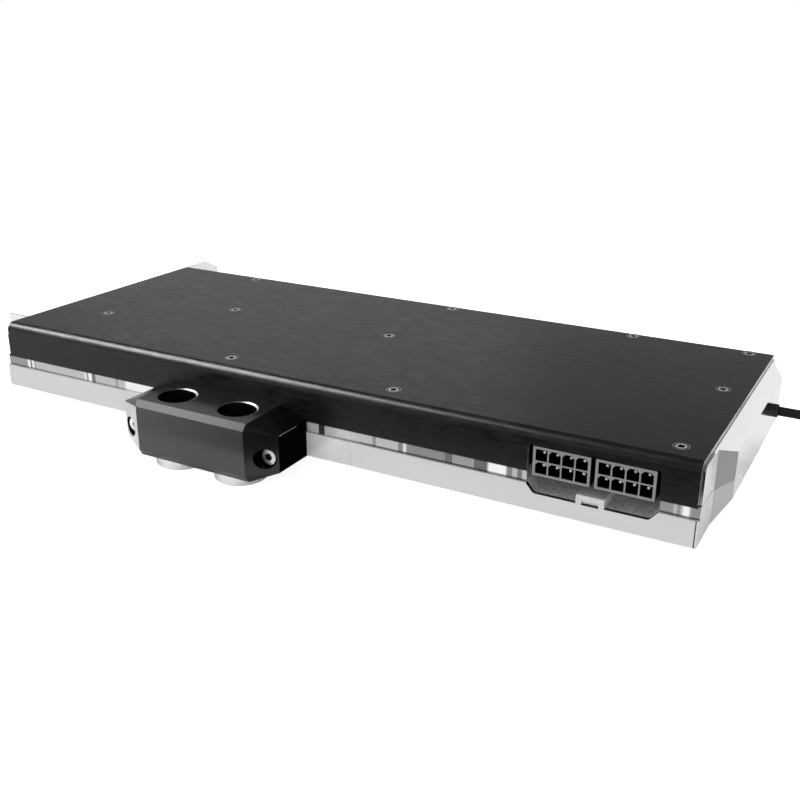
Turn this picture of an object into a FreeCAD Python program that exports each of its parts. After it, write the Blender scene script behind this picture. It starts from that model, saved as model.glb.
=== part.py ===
import FreeCAD, Part
import math
import os
import Sketcher

# A full-cover liquid cooling block mounted on its graphics board, backplate up.
# Working frame: X runs along the backplate from its left end, Y goes back from the front
# flange, and Z goes up from the flange's lower edge. Every node is then shifted so that
# the finished part stands with its origin under the middle of its own box.

SIZES = (
    # backplate: folded sheet, flat top and a front flange
    ("plate_length", 272.5, "backplate length along X"),
    ("plate_depth", 108.0, "backplate depth along Y"),
    ("plate_height", 13.6, "flange height, lower edge to top face"),
    ("sheet_thickness", 1.5, "backplate sheet"),
    ("bend_radius", 3.0, "outside radius of the fold"),
    ("corner_radius", 0.8, "backplate's free corners"),
    ("window_margin", 1.4, "flange window beyond the power sockets"),
    # countersunk backplate screws
    ("screw_radius", 1.25, "M2.5 shank"),
    ("screw_head_radius", 2.4, "countersunk head"),
    ("screw_length", 10.0, "over the head"),
    ("screw_clearance", 0.25, "clearance hole over the shank, on the radius"),
    ("thread_gap", 0.05, "tapped hole over the screw, on the radius"),
    ("recess_flat", 1.5, "hexagon recess across flats"),
    ("recess_depth", 0.9, "hexagon recess depth"),
    ("front_row_y", 9.5, "front row of screws"),
    ("middle_row_inset", 48.0, "row through the processor's middle, from the back edge"),
    ("back_row_inset", 2.6, "back row of screws from the back edge"),
    ("front_left_x", 103.8, "front row, left screw"),
    ("front_right_x", 170.2, "front row, right screw"),
    ("corner_screw_x", 24.7, "left screw"),
    ("corner_screw_y", 30.3, "left screw"),
    ("mount_left_x", 66.6, "processor mount, left screw"),
    ("mount_right_x", 139.8, "processor mount, right screw"),
    ("back_left_x", 43.6, "back row, left screw"),
    ("back_middle_x", 144.3, "back row, middle screw"),
    ("back_right_inset", 51.2, "back row, right screw from the right end"),
    ("end_column_inset", 8.3, "column of screws from the right end"),
    ("end_middle_y", 62.9, "middle screw of that column"),
    # board
    ("board_thickness", 1.6, "circuit board"),
    ("spacer_height", 2.4, "backplate to board"),
    ("spacer_wall", 1.3, "spacer ring wall"),
    ("board_left", 1.0, "board's left edge"),
    ("board_front", 2.2, "board's front edge"),
    ("edge_gap", 0.5, "board to the frame around it"),
    ("tab_left", 49.5, "contact tab, left end"),
    ("tab_length", 89.0, "contact tab length"),
    ("tab_reach", 8.0, "contact tab beyond the backplate"),
    ("key_from_left", 12.0, "key notch from the tab's left end"),
    ("key_width", 1.9, "key notch width"),
    ("key_depth", 8.3, "key notch depth"),
    # power sockets
    ("socket_end_inset", 21.2, "right socket's middle from the right end"),
    ("socket_spacing", 19.44, "middle to middle"),
    ("socket_width", 18.0, "housing width"),
    ("socket_height", 9.5, "housing height"),
    ("socket_length", 13.0, "housing length"),
    ("socket_front", 1.0, "housing front behind the flange face"),
    ("cell_pitch", 4.2, "terminal pitch"),
    ("cell_size", 3.7, "cell width and height"),
    ("cell_depth", 9.0, "cell depth"),
    ("cell_chamfer", 0.9, "cell corner cut"),
    ("pin_size", 0.7, "square pin"),
    ("pin_length", 6.4, "pin length"),
    # frame between board and cold plate
    ("seam_drop", 4.0, "cold plate's top face below the flange"),
    ("strip_recess", 1.0, "visible strip behind the flange face"),
    ("flange_gap", 0.2, "frame to the inside of the flange"),
    ("front_wall", 4.6, "frame's front rail"),
    ("back_wall", 5.2, "frame's back rail"),
    ("end_block", 10.6, "frame's right block inside the backplate's end"),
    ("left_overhang", 2.5, "body beyond the backplate's left end"),
    ("left_block", 8.0, "frame's left corner blocks"),
    ("left_rail_height", 4.0, "rail between the left corner blocks"),
    ("block_front_depth", 20.0, "front corner block, back face"),
    ("block_back_inset", 10.0, "back corner block, front face from the back edge"),
    ("tab_clearance", 1.9, "back rail opening beside the contact tab"),
    ("tab_headroom", 4.6, "back rail opening under the contact tab"),
    ("end_overhang", 0.8, "body beyond the backplate's right end, in front of the bulge"),
    ("bulge_width", 4.4, "right end's bulge"),
    ("bulge_start_y", 17.0, "bulge starts"),
    ("bulge_full_y", 29.0, "bulge reaches its width"),
    ("bulge_end_inset", 4.0, "bulge ends, from the back edge"),
    ("bulge_return", 1.5, "depth of the bulge's back corner"),
    ("bevel_bottom", 7.1, "bevel meets the end face at this height"),
    ("bevel_start", 0.3, "bevel starts this far beyond the backplate"),
    ("lower_bevel_height", 4.0, "bevel along the bulge's lower edge"),
    ("joint_left_x", 20.0, "screws from the cold plate into the frame, left"),
    ("joint_front_x", 200.0, "front one"),
    ("joint_back_x", 180.0, "back one"),
    ("joint_end_inset", 8.5, "end ones from the end face"),
    ("joint_end_front_y", 34.0, "end one in front"),
    ("joint_end_back_inset", 15.0, "end one from the back edge"),
    ("joint_reach", 6.0, "those screws into the frame"),
    # cold plate
    ("cold_thickness", 8.6, "cold plate"),
    ("boss_radius", 3.0, "standoff boss"),
    ("cut_floor_drop", 3.0, "socket pocket depth in the cold plate"),
    ("cut_depth", 18.0, "socket pocket, front to back"),
    ("cut_slant", 2.6, "run of the pocket's slanted end"),
    ("cut_margin", 1.6, "pocket beyond the housings"),
    ("cut_corner", 1.4, "pocket's rounded lower corners"),
    ("tongue_width", 8.7, "tongue left between the pockets"),
    ("tongue_offset", 0.1, "tongue off the middle of the sockets"),
    ("tongue_slot_width", 5.4, "slot in the tongue's front"),
    ("tongue_slot_height", 1.5, "slot in the tongue's front"),
    ("tongue_slot_depth", 0.8, "slot in the tongue's front"),
    ("tongue_slot_drop", 1.7, "slot below the tongue's top"),
    # processor and its neighbours
    ("chip_middle_x", 103.2, "processor, middle"),
    ("package_size", 45.0, "processor package, square"),
    ("package_thickness", 1.9, "processor package"),
    ("die_length", 26.5, "processor die along X"),
    ("die_width", 19.6, "processor die along Y"),
    ("die_thickness", 0.8, "processor die"),
    ("pedestal_margin", 4.0, "pedestal beyond the die"),
    ("memory_length", 14.0, "memory chip along Y"),
    ("memory_width", 12.0, "memory chip along X"),
    ("chip_height", 1.1, "memory and power stage height"),
    ("pad_thickness", 1.0, "thermal pad"),
    ("land_margin", 0.5, "land beyond its chips"),
    ("memory_side_x", 38.5, "side memory from the middle"),
    ("memory_side_y", 17.0, "side memory from the middle"),
    ("memory_end_x", 14.0, "end memory from the middle"),
    ("memory_end_y", 34.5, "end memory from the middle"),
    ("stage_length", 6.0, "power stage along X"),
    ("stage_width", 5.0, "power stage along Y"),
    ("stage_pitch", 11.0, "power stages along Y"),
    ("stage_first_y", 22.0, "first power stage"),
    ("stage_count", 7, "power stages in the right column"),
    ("stage_left_count", 4, "power stages in the left column"),
    ("stage_left_first_y", 44.0, "first power stage of the left column"),
    ("stage_x", 176.0, "right column of power stages"),
    ("stage_left_x", 40.0, "left column of power stages"),
    ("choke_offset", 11.0, "choke from its power stage"),
    ("choke_size", 8.0, "choke, square"),
    ("choke_height", 5.5, "choke"),
    ("capacitor_radius", 3.1, "capacitor can"),
    ("capacitor_height", 6.5, "capacitor can"),
        ("capacitor_first_y", 30.0, "first capacitor"),
    ("capacitor_pitch", 9.0, "capacitor spacing"),
    ("capacitor_columns", 5, "capacitors along X"),
    ("capacitor_rows", 2, "capacitors along Y"),
    # coolant path
    ("channel_depth", 6.6, "milled from the cold plate's lower face"),
    ("channel_width", 8.0, "channel"),
    ("fin_field_length", 44.0, "fins along X"),
    ("fin_pitch", 1.6, "fin pitch"),
    ("fin_gap", 0.8, "gap between fins"),
    ("fin_count", 22, "gaps"),
    ("plenum_offset", 25.0, "plenum from the processor's middle"),
    ("feed_row_y", 33.0, "channel next to the terminal"),
    ("far_row_inset", 16.0, "channel at the back, from the cover's edge"),
    ("loop_inset", 18.0, "channel at the right, from the cover's edge"),
    ("cover_left", 60.0, "cover's left edge"),
    ("cover_end_inset", 58.5, "cover's right edge from the backplate's right end"),
    ("cover_front", 16.0, "cover's front edge"),
    ("cover_back_inset", 8.0, "cover's back edge from the backplate's back edge"),
    ("cover_thickness", 7.6, "cover"),
    ("cover_corner", 6.0, "cover corner radius"),
    ("gasket_inset", 8.0, "gasket from the cover's edge"),
    ("gasket_width", 1.6, "gasket"),
    ("gasket_height", 1.0, "gasket"),
    ("cover_screw_inset", 4.0, "cover screws from the cover's edge"),
    ("cover_screw_reach", 6.0, "cover screws into the cold plate"),
    # terminal block
    ("terminal_x", 108.6, "middle of the terminal"),
    ("terminal_middle_z", -6.2, "half height of the terminal"),
    ("terminal_half_height", 10.4, "terminal, top to bottom"),
    ("terminal_depth", 21.4, "terminal, front face"),
    ("terminal_edge_depth", 20.0, "terminal's top front edge"),
    ("terminal_side_depth", 16.0, "terminal's side corner"),
    ("terminal_half_length", 33.1, "terminal, side face"),
    ("terminal_front_inset", 10.2, "front face's end from the side face"),
    ("terminal_top_inset", 9.8, "top face's end from the side face"),
    ("terminal_face_half", 8.1, "front face, half height"),
    ("terminal_side_half", 6.5, "side face, half height"),
    ("port_half_spacing", 13.0, "ports from the terminal's middle"),
    ("port_depth", 10.7, "port axis in front of the flange"),
    ("port_radius", 6.58, "G1/4 port"),
    ("port_thread", 8.0, "port thread length"),
    ("port_mouth", 0.45, "chamfer at the port's mouth"),
    ("waterway_radius", 5.6, "between the upper and lower port"),
    ("bore_radius", 2.9, "from port to cold plate"),
    ("bore_z", -8.55, "height of those bores"),
    ("seal_radius", 3.9, "O-ring, middle of its section"),
    ("seal_section", 0.46, "O-ring section radius"),
    ("seal_groove", 1.0, "O-ring groove"),
    ("clamp_inset", 4.2, "terminal screws from the side face"),
    ("clamp_z", -7.8, "terminal screws"),
    ("clamp_bore", 3.5, "counterbore radius"),
    ("clamp_seat", 13.1, "counterbore floor in front of the flange"),
    ("clamp_head", 2.75, "socket head radius"),
    ("clamp_head_height", 3.0, "socket head"),
    ("clamp_shank", 1.5, "M3 shank"),
    ("clamp_reach", 9.0, "into the cold plate"),
    ("clamp_recess_flat", 2.5, "hexagon recess across flats"),
    ("clamp_recess_depth", 1.6, "hexagon recess depth"),
    # blanking plugs
    ("plug_radius", 9.25, "plug head"),
    ("plug_head", 3.6, "plug head height"),
    ("plug_thread", 5.0, "plug thread length"),
    ("plug_thread_gap", 0.08, "plug thread in the port, on the radius"),
    ("plug_slot_radius", 4.0, "plug's key recess"),
    ("plug_slot_depth", 2.2, "plug's key recess"),
    ("plug_seal_outer", 8.2, "plug seal"),
    ("plug_seal_height", 1.0, "plug seal"),
    # slot bracket and video sockets
    ("bracket_thickness", 1.0, "slot bracket"),
    ("bracket_top", 12.4, "bracket's upper edge"),
    ("bracket_width", 18.4, "single slot"),
    ("bracket_front", 13.0, "bracket's lip"),
    ("bracket_shoulder_reach", 2.0, "tongue starts, beyond the back edge"),
    ("bracket_tip_reach", 26.0, "tongue's end, beyond the back edge"),
    ("tongue_lower_z", 1.0, "tongue's lower edge"),
    ("tip_lower_z", 3.5, "tip's lower corner"),
    ("tip_upper_z", 8.4, "tip's upper corner"),
    ("tip_taper", 8.0, "length of the tip's taper"),
    ("lip_reach", 10.4, "lip beyond the bracket"),
    ("lip_notch_radius", 2.2, "screw notch"),
    ("lip_notch_z", 5.2, "screw notch"),
    ("video_first_y", 31.0, "first display socket, middle"),
    ("video_pitch", 21.5, "display sockets along the bracket"),
    ("video_count", 3, "display sockets"),
    ("video_depth", 17.0, "video socket length"),
    ("video_shell", 0.6, "video socket wall"),
    ("video_mouth_depth", 9.0, "video socket hollow"),
    ("window_gap", 0.3, "bracket window around a socket"),
    ("display_width", 16.6, "display socket"),
    ("display_height", 6.4, "display socket"),
    ("bracket_screw_z", 2.0, "bracket screws"),
    ("bracket_screw_front_y", 17.2, "front bracket screw"),
    ("bracket_screw_back_inset", 7.0, "back bracket screw from the back edge"),
    ("bracket_screw_head", 1.2, "bracket screw head height"),
    # lighting lead
    ("gland_inset", 27.1, "lead's way out from the back edge"),
    ("gland_z", 2.7, "lead's way out"),
    ("gland_radius", 2.3, "sleeve"),
    ("gland_seat", 3.0, "sleeve inside the wall"),
    ("gland_reach", 3.0, "sleeve beyond the wall"),
    ("lead_radius", 1.6, "lead"),
    ("lead_gap", 0.1, "bore around the lead, on the radius"),
    ("strip_length", 32.0, "light strip"),
    ("strip_height", 6.0, "light strip"),
    ("strip_thickness", 1.2, "light strip"),
    ("coil_middle_radius", 17.6, "coil, middle of its turns"),
    ("connector_length", 14.0, "connector"),
    ("connector_width", 10.0, "connector"),
    ("connector_height", 3.0, "connector"),
)

doc = FreeCAD.newDocument("ColdPlate")
sheet = doc.addObject("Spreadsheet::Sheet", "Sizes")


class Size:
    """A length with its value and the spreadsheet expression that gives it."""

    def __init__(self, value, text):
        self.value = value
        self.text = text

    def __add__(self, other):
        other = as_size(other)
        return Size(self.value + other.value, f"({self.text} + {other.text})")

    __radd__ = __add__

    def __sub__(self, other):
        other = as_size(other)
        return Size(self.value - other.value, f"({self.text} - {other.text})")

    def __rsub__(self, other):
        return as_size(other) - self

    def __mul__(self, other):
        other = as_size(other)
        return Size(self.value * other.value, f"({self.text} * {other.text})")

    __rmul__ = __mul__

    def __truediv__(self, other):
        other = as_size(other)
        return Size(self.value / other.value, f"({self.text} / {other.text})")

    def __neg__(self):
        return Size(-self.value, f"(-1 * {self.text})")


def as_size(number):
    if isinstance(number, Size):
        return number
    return Size(float(number), f"({float(number)})")


class Sheet:
    """The spreadsheet's aliases as attributes."""


s = Sheet()
for row, (alias, value, meaning) in enumerate(SIZES, start=1):
    sheet.set(f"A{row}", alias)
    sheet.set(f"B{row}", str(value))
    sheet.set(f"C{row}", meaning)
    sheet.setAlias(f"B{row}", alias)
doc.recompute()
for alias, value, meaning in SIZES:
    setattr(s, alias, Size(float(sheet.get(alias)), f"Sizes.{alias}"))

VX = FreeCAD.Vector(1, 0, 0)
VY = FreeCAD.Vector(0, 1, 0)
VZ = FreeCAD.Vector(0, 0, 1)
CUT_SLACK = 1.0     # how far a cutting tool runs past the face that it opens

# levels and places that several pieces share
plate_under = s.plate_height - s.sheet_thickness
board_top = plate_under - s.spacer_height
board_under = board_top - s.board_thickness
cold_top = -s.seam_drop
cold_bottom = cold_top - s.cold_thickness
stand_z = cold_bottom - s.cover_thickness
inner_end = s.plate_length - s.end_block
inner_back = s.plate_depth - s.back_wall
board_right = inner_end - s.edge_gap
board_back = inner_back - s.edge_gap
chip_y = s.plate_depth - s.middle_row_inset
back_row_y = s.plate_depth - s.back_row_inset
end_column_x = s.plate_length - s.end_column_inset
land_top = board_under - s.chip_height - s.pad_thickness
die_face = board_under - s.package_thickness - s.die_thickness
wall_front = s.sheet_thickness + s.flange_gap
wall_back = wall_front + s.front_wall
end_face = s.plate_length + s.bulge_width
corner_face = s.plate_length + s.end_overhang
terminal_top = s.terminal_middle_z + s.terminal_half_height
terminal_bottom = s.terminal_middle_z - s.terminal_half_height
last_socket_x = s.plate_length - s.socket_end_inset
socket_x = (last_socket_x - s.socket_spacing, last_socket_x)
sockets_left = socket_x[0] - s.socket_width / 2
sockets_right = socket_x[1] + s.socket_width / 2
port_x = (s.terminal_x - s.port_half_spacing, s.terminal_x + s.port_half_spacing)
terminal_front_half = s.terminal_half_length - s.terminal_front_inset
terminal_top_half = s.terminal_half_length - s.terminal_top_inset
clamp_half_spacing = s.terminal_half_length - s.clamp_inset
cover_right = s.plate_length - s.cover_end_inset
cover_back = s.plate_depth - s.cover_back_inset
bulge_end_y = s.plate_depth - s.bulge_end_inset
gland_y = s.plate_depth - s.gland_inset
bracket_face = -s.left_overhang
bracket_outer = bracket_face - s.bracket_thickness
lip_end = bracket_outer - s.lip_reach
bracket_tip = s.plate_depth + s.bracket_tip_reach
bracket_screw_back_y = s.plate_depth - s.bracket_screw_back_inset

# the part's origin: under the middle of its box, on the surface that it stands on
origin_x = (lip_end + end_face) / 2
origin_y = (bracket_tip - s.terminal_depth) / 2
origin_z = stand_z

# screws that go through the board into standoffs, and screws straight into the frame
board_screws = (
    (s.corner_screw_x, s.corner_screw_y),
    (s.mount_left_x, chip_y),
    (s.mount_right_x, chip_y),
    (s.front_left_x, s.front_row_y),
    (s.front_right_x, s.front_row_y),
)
frame_screws = (
    (s.back_left_x, back_row_y),
    (s.back_middle_x, back_row_y),
    (s.plate_length - s.back_right_inset, back_row_y),
    (end_column_x, back_row_y),
    (end_column_x, s.end_middle_y),
    (end_column_x, s.front_row_y),
)

# screws from below that join the cold plate to the frame
joint_screws = (
    (s.joint_left_x, wall_front + s.front_wall / 2),
    (s.joint_front_x, wall_front + s.front_wall / 2),
    (s.joint_left_x, back_row_y),
    (s.joint_back_x, back_row_y),
    (end_face - s.joint_end_inset, s.joint_end_front_y),
    (end_face - s.joint_end_inset, s.plate_depth - s.joint_end_back_inset),
)

nodes = {}


# ---------------------------------------------------------------- drawing helpers

def bind(thing, prop, length):
    """Ties a property to the spreadsheet."""
    thing.setExpression(prop, as_size(length).text)


def place(thing, x, y, z):
    for axis, length in zip("xyz", (x, y, z)):
        bind(thing, f".Placement.Base.{axis}", length)


def new_body(name):
    return doc.addObject("PartDesign::Body", name)


def sketch_on(body, plane_role, offset=0.0):
    """A sketch on one of the body's own origin planes, moved along its normal."""
    sketch = body.newObject("Sketcher::SketchObject", body.Name + "_sketch")
    plane = [item for item in body.Origin.OriginFeatures if item.Role == plane_role][0]
    sketch.AttachmentSupport = [(plane, "")]
    sketch.MapMode = "FlatFace"
    bind(sketch, ".AttachmentOffset.Base.z", offset)
    return sketch


def pin_point(sketch, index, end, u, v):
    """Holds one end of a curve at (u, v) from the sketch's origin."""
    for kind, length in (("DistanceX", as_size(u)), ("DistanceY", as_size(v))):
        number = sketch.addConstraint(Sketcher.Constraint(kind, -1, 1, index, end, length.value))
        bind(sketch, f"Constraints[{number}]", length)


def polygon(sketch, corners):
    corners = [(as_size(u), as_size(v)) for u, v in corners]
    first = sketch.GeometryCount
    count = len(corners)
    for i, (u, v) in enumerate(corners):
        next_u, next_v = corners[(i + 1) % count]
        start = FreeCAD.Vector(u.value, v.value, 0)
        end = FreeCAD.Vector(next_u.value, next_v.value, 0)
        sketch.addGeometry(Part.LineSegment(start, end), False)
    for i in range(count):
        following = first + (i + 1) % count
        sketch.addConstraint(Sketcher.Constraint("Coincident", first + i, 2, following, 1))
    for i, (u, v) in enumerate(corners):
        pin_point(sketch, first + i, 1, u, v)


def rectangle(sketch, left, right, low, high):
    polygon(sketch, ((left, low), (right, low), (right, high), (left, high)))


def centred(sketch, u, v, width, height):
    rectangle(sketch, u - width / 2, u + width / 2, v - height / 2, v + height / 2)


def circle(sketch, u, v, radius):
    u, v, radius = as_size(u), as_size(v), as_size(radius)
    centre = FreeCAD.Vector(u.value, v.value, 0)
    index = sketch.addGeometry(Part.Circle(centre, VZ, radius.value), False)
    number = sketch.addConstraint(Sketcher.Constraint("Radius", index, radius.value))
    bind(sketch, f"Constraints[{number}]", radius)
    pin_point(sketch, index, 3, u, v)


def pad(body, sketch, length, reverse=False):
    feature = body.newObject("PartDesign::Pad", body.Name + "_pad")
    feature.Profile = sketch
    bind(feature, "Length", length)
    feature.Reversed = reverse
    return feature


def pocket(body, sketch, length, reverse=False):
    feature = body.newObject("PartDesign::Pocket", body.Name + "_pocket")
    feature.Profile = sketch
    bind(feature, "Length", length)
    feature.Reversed = reverse
    cuts.append(feature)
    return feature


def revolve(body, sketch):
    feature = body.newObject("PartDesign::Revolution", body.Name + "_revolution")
    feature.Profile = sketch
    feature.ReferenceAxis = (sketch, ["V_Axis"])
    feature.Angle = 360
    return feature


def round_edges(body, radius, picked):
    """Fillets the edges of the body's last feature that picked(edge) chooses."""
    doc.recompute()
    base = body.Tip
    names = [f"Edge{i}" for i, edge in enumerate(base.Shape.Edges, start=1) if picked(edge)]
    feature = body.newObject("PartDesign::Fillet", body.Name + "_fillet")
    feature.Base = (base, names)
    bind(feature, "Radius", radius)
    return feature


def runs_along(edge, axis):
    """True for a straight edge parallel to axis."""
    if len(edge.Vertexes) != 2 or edge.Curve.TypeId != "Part::GeomLine":
        return False
    direction = edge.Vertexes[1].Point - edge.Vertexes[0].Point
    return direction.cross(axis).Length < 1e-6 * max(direction.Length, 1e-9)


def box(name, corner, width, depth, height):
    thing = doc.addObject("Part::Box", name)
    bind(thing, "Length", width)
    bind(thing, "Width", depth)
    bind(thing, "Height", height)
    place(thing, *corner)
    return thing


def cylinder(name, base, radius, height, axis=VZ):
    thing = doc.addObject("Part::Cylinder", name)
    bind(thing, "Radius", radius)
    bind(thing, "Height", height)
    thing.Placement = FreeCAD.Placement(FreeCAD.Vector(), FreeCAD.Rotation(VZ, axis))
    place(thing, *base)
    return thing


def cone(name, base, low_radius, high_radius, height):
    thing = doc.addObject("Part::Cone", name)
    bind(thing, "Radius1", low_radius)
    bind(thing, "Radius2", high_radius)
    bind(thing, "Height", height)
    place(thing, *base)
    return thing


def slot(name, start, end, width, low, height):
    """A milled slot along X or Y: a straight run with a round end at each point."""
    (x0, y0), (x1, y1) = start, end
    half = width / 2
    ends = [cylinder(name + "_end", (x, y, low), half, height) for x, y in (start, end)]
    if as_size(x0).text == as_size(x1).text:
        run = box(name + "_run", (x0 - half, y0, low), width, y1 - y0, height)
    else:
        run = box(name + "_run", (x0, y0 - half, low), x1 - x0, width, height)
    return fuse(name, ends + [run])


def fuse(name, things):
    result = doc.addObject("Part::MultiFuse", name)
    result.Shapes = things
    return result


def cut(name, base, tools):
    result = doc.addObject("Part::Cut", name)
    result.Base = base
    result.Tool = tools[0] if len(tools) == 1 else fuse(name + "_tools", tools)
    cuts.append(result)
    return result


def copies(name, source, places):
    """One node of separate solids: the source piece linked at each of the places."""
    links = []
    for spot in places:
        link = doc.addObject("App::Link", name + "_copy")
        link.LinkedObject = source
        link.LinkTransform = True
        place(link, *spot)
        links.append(link)
    return group(name, links)


def group(name, things):
    compound = doc.addObject("Part::Compound", name)
    compound.Links = things
    return compound


def node(name, thing):
    """Names a finished piece and shifts it into the part's own frame."""
    piece = group(name, [thing])
    place(piece, -origin_x, -origin_y, -origin_z)
    nodes[name] = piece


cuts = []


# ---------------------------------------------------------------- backplate

def backplate():
    body = new_body("BackplateBody")
    profile = sketch_on(body, "YZ_Plane")
    polygon(profile, (
        (0, 0),
        (0, s.plate_height),
        (s.plate_depth, s.plate_height),
        (s.plate_depth, plate_under),
        (s.sheet_thickness, plate_under),
        (s.sheet_thickness, 0),
    ))
    pad(body, profile, s.plate_length)
    top, under, sheet_y = s.plate_height.value, plate_under.value, s.sheet_thickness.value

    def at(edge, y, z):
        point = edge.Vertexes[0].Point
        return runs_along(edge, VX) and abs(point.y - y) < 1e-6 and abs(point.z - z) < 1e-6

    round_edges(body, s.bend_radius, lambda edge: at(edge, 0, top))
    round_edges(body, s.bend_radius - s.sheet_thickness, lambda edge: at(edge, sheet_y, under))
    back = s.plate_depth.value
    round_edges(body, s.corner_radius, lambda edge: (
        runs_along(edge, VZ) and abs(edge.Vertexes[0].Point.y - back) < 1e-6))
    round_edges(body, s.corner_radius, lambda edge: (
        runs_along(edge, VY) and abs(edge.Vertexes[0].Point.z) < 1e-6))
    window = sketch_on(body, "XZ_Plane")
    rectangle(window, sockets_left - s.window_margin, sockets_right + s.window_margin,
              -CUT_SLACK, board_under + s.window_margin / 2)
    pocket(body, window, s.sheet_thickness + CUT_SLACK)
    tall = (board_under + s.window_margin / 2).value
    round_edges(body, s.corner_radius, lambda edge: (
        runs_along(edge, VY) and abs(edge.Vertexes[0].Point.z - tall) < 1e-6))
    hole_r = s.screw_radius + s.screw_clearance
    head = s.screw_head_radius + s.thread_gap
    tools = []
    for x, y in board_screws + frame_screws:
        tools.append(cylinder("plate_hole", (x, y, plate_under - CUT_SLACK), hole_r,
                              s.sheet_thickness + 2 * CUT_SLACK))
        tools.append(cone("plate_sink", (x, y, s.plate_height - (head - hole_r)),
                          hole_r, head, head - hole_r))
    node("backplate", cut("Backplate", body, tools))


def hexagon(sketch, across_flats):
    corner = across_flats / math.sqrt(3)
    turns = [math.radians(60 * i) for i in range(6)]
    polygon(sketch, [(corner * math.cos(turn), corner * math.sin(turn)) for turn in turns])


def countersunk_screw(name, length, side=1):
    """Countersunk screw with its head's outer face at Z = 0, looking up (side 1) or down (-1)."""
    body = new_body(name)
    profile = sketch_on(body, "XZ_Plane")
    taper = s.screw_head_radius - s.screw_radius
    polygon(profile, (
        (0, 0),
        (s.screw_head_radius, 0),
        (s.screw_radius, -side * taper),
        (s.screw_radius, -side * length),
        (0, -side * length),
    ))
    revolve(body, profile)
    recess = sketch_on(body, "XY_Plane")
    hexagon(recess, s.recess_flat)
    pocket(body, recess, s.recess_depth, reverse=side < 0)
    return body


def backplate_hardware():
    screw = countersunk_screw("BackplateScrew", s.screw_length)
    places = [(x, y, s.plate_height) for x, y in board_screws + frame_screws]
    node("backplate_screws", copies("BackplateScrews", screw, places))
    inner = s.screw_radius + s.screw_clearance
    ring = cut("Spacer", cylinder("spacer_outer", (0, 0, 0), inner + s.spacer_wall, s.spacer_height),
               [cylinder("spacer_inner", (0, 0, 0), inner, s.spacer_height)])
    node("board_spacers", copies("BoardSpacers", ring, [(x, y, board_top) for x, y in board_screws]))
    pad_size = s.package_size
    node("rear_pad", box("RearPad", (s.chip_middle_x - pad_size / 2, chip_y - pad_size / 2, board_top),
                         pad_size, pad_size, s.spacer_height))


# ---------------------------------------------------------------- board and what it carries

def circuit_board():
    body = new_body("BoardBody")
    outline = sketch_on(body, "XY_Plane", board_under)
    tab_right = s.tab_left + s.tab_length
    tab_end = s.plate_depth + s.tab_reach
    key_left = s.tab_left + s.key_from_left
    key_right = key_left + s.key_width
    lead_in = s.board_thickness / 2
    polygon(outline, (
        (s.board_left, s.board_front),
        (board_right, s.board_front),
        (board_right, board_back),
        (tab_right, board_back),
        (tab_right, tab_end - lead_in),
        (tab_right - lead_in, tab_end),
        (key_right, tab_end),
        (key_right, tab_end - s.key_depth),
        (key_left, tab_end - s.key_depth),
        (key_left, tab_end),
        (s.tab_left + lead_in, tab_end),
        (s.tab_left, tab_end - lead_in),
        (s.tab_left, board_back),
        (s.board_left, board_back),
    ))
    pad(body, outline, s.board_thickness)
    holes = sketch_on(body, "XY_Plane", board_top)
    for x, y in board_screws:
        circle(holes, x, y, s.screw_radius + s.screw_clearance)
    pocket(body, holes, s.board_thickness + CUT_SLACK)
    node("circuit_board", body)


def power_socket(number, middle_x):
    """Right-angle eight-way socket: two rows of four cells, keyed by their corners."""
    body = new_body(f"PowerSocketBody{number}")
    front = sketch_on(body, "XZ_Plane", -s.socket_front)
    low = board_under - s.socket_height
    rectangle(front, middle_x - s.socket_width / 2, middle_x + s.socket_width / 2, low, board_under)
    pad(body, front, s.socket_length, reverse=True)
    cells = sketch_on(body, "XZ_Plane", -s.socket_front)
    half = s.cell_size / 2
    nip = s.cell_chamfer
    for row, square_columns in ((1, (0,)), (0, (2, 3))):
        for column in range(4):
            x = middle_x + (column - 1.5) * s.cell_pitch
            z = low + s.socket_height / 2 + (row - 0.5) * s.cell_pitch
            if column in square_columns:
                centred(cells, x, z, s.cell_size, s.cell_size)
            else:
                polygon(cells, (
                    (x - half, z - half), (x + half, z - half),
                    (x + half, z + half - nip), (x + half - nip, z + half),
                    (x - half + nip, z + half), (x - half, z + half - nip),
                ))
    pocket(body, cells, s.cell_depth)
    node(f"power_socket_{number}", body)


def power_pins():
    pin = box("Pin", (-s.pin_size / 2, -s.pin_length, -s.pin_size / 2), s.pin_size, s.pin_length, s.pin_size)
    cell_end = s.socket_front + s.cell_depth
    middle_z = board_under - s.socket_height / 2
    places = [(x + (column - 1.5) * s.cell_pitch, cell_end, middle_z + side * s.cell_pitch / 2)
              for x in socket_x for column in range(4) for side in (-1, 1)]
    node("power_pins", copies("PowerPins", pin, places))


def processor():
    half = s.package_size / 2
    node("processor_package", box(
        "ProcessorPackage", (s.chip_middle_x - half, chip_y - half, board_under - s.package_thickness),
        s.package_size, s.package_size, s.package_thickness))
    node("processor_die", box(
        "ProcessorDie", (s.chip_middle_x - s.die_length / 2, chip_y - s.die_width / 2, die_face),
        s.die_length, s.die_width, s.die_thickness))


def memory_places():
    places = []
    for sx in (-1, 1):
        for sy in (-1, 1):
            places.append((s.chip_middle_x + sx * s.memory_side_x, chip_y + sy * s.memory_side_y))
            places.append((s.chip_middle_x + sx * s.memory_end_x, chip_y + sy * s.memory_end_y))
    return places


def stage_places():
    right = [(s.stage_x, s.stage_first_y + i * s.stage_pitch, 1) for i in range(int(s.stage_count.value))]
    left = [(s.stage_left_x, s.stage_left_first_y + i * s.stage_pitch, -1)
            for i in range(int(s.stage_left_count.value))]
    return right + left


def centred_block(name, width, depth, height):
    return box(name, (-width / 2, -depth / 2, 0), width, depth, height)


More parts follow.
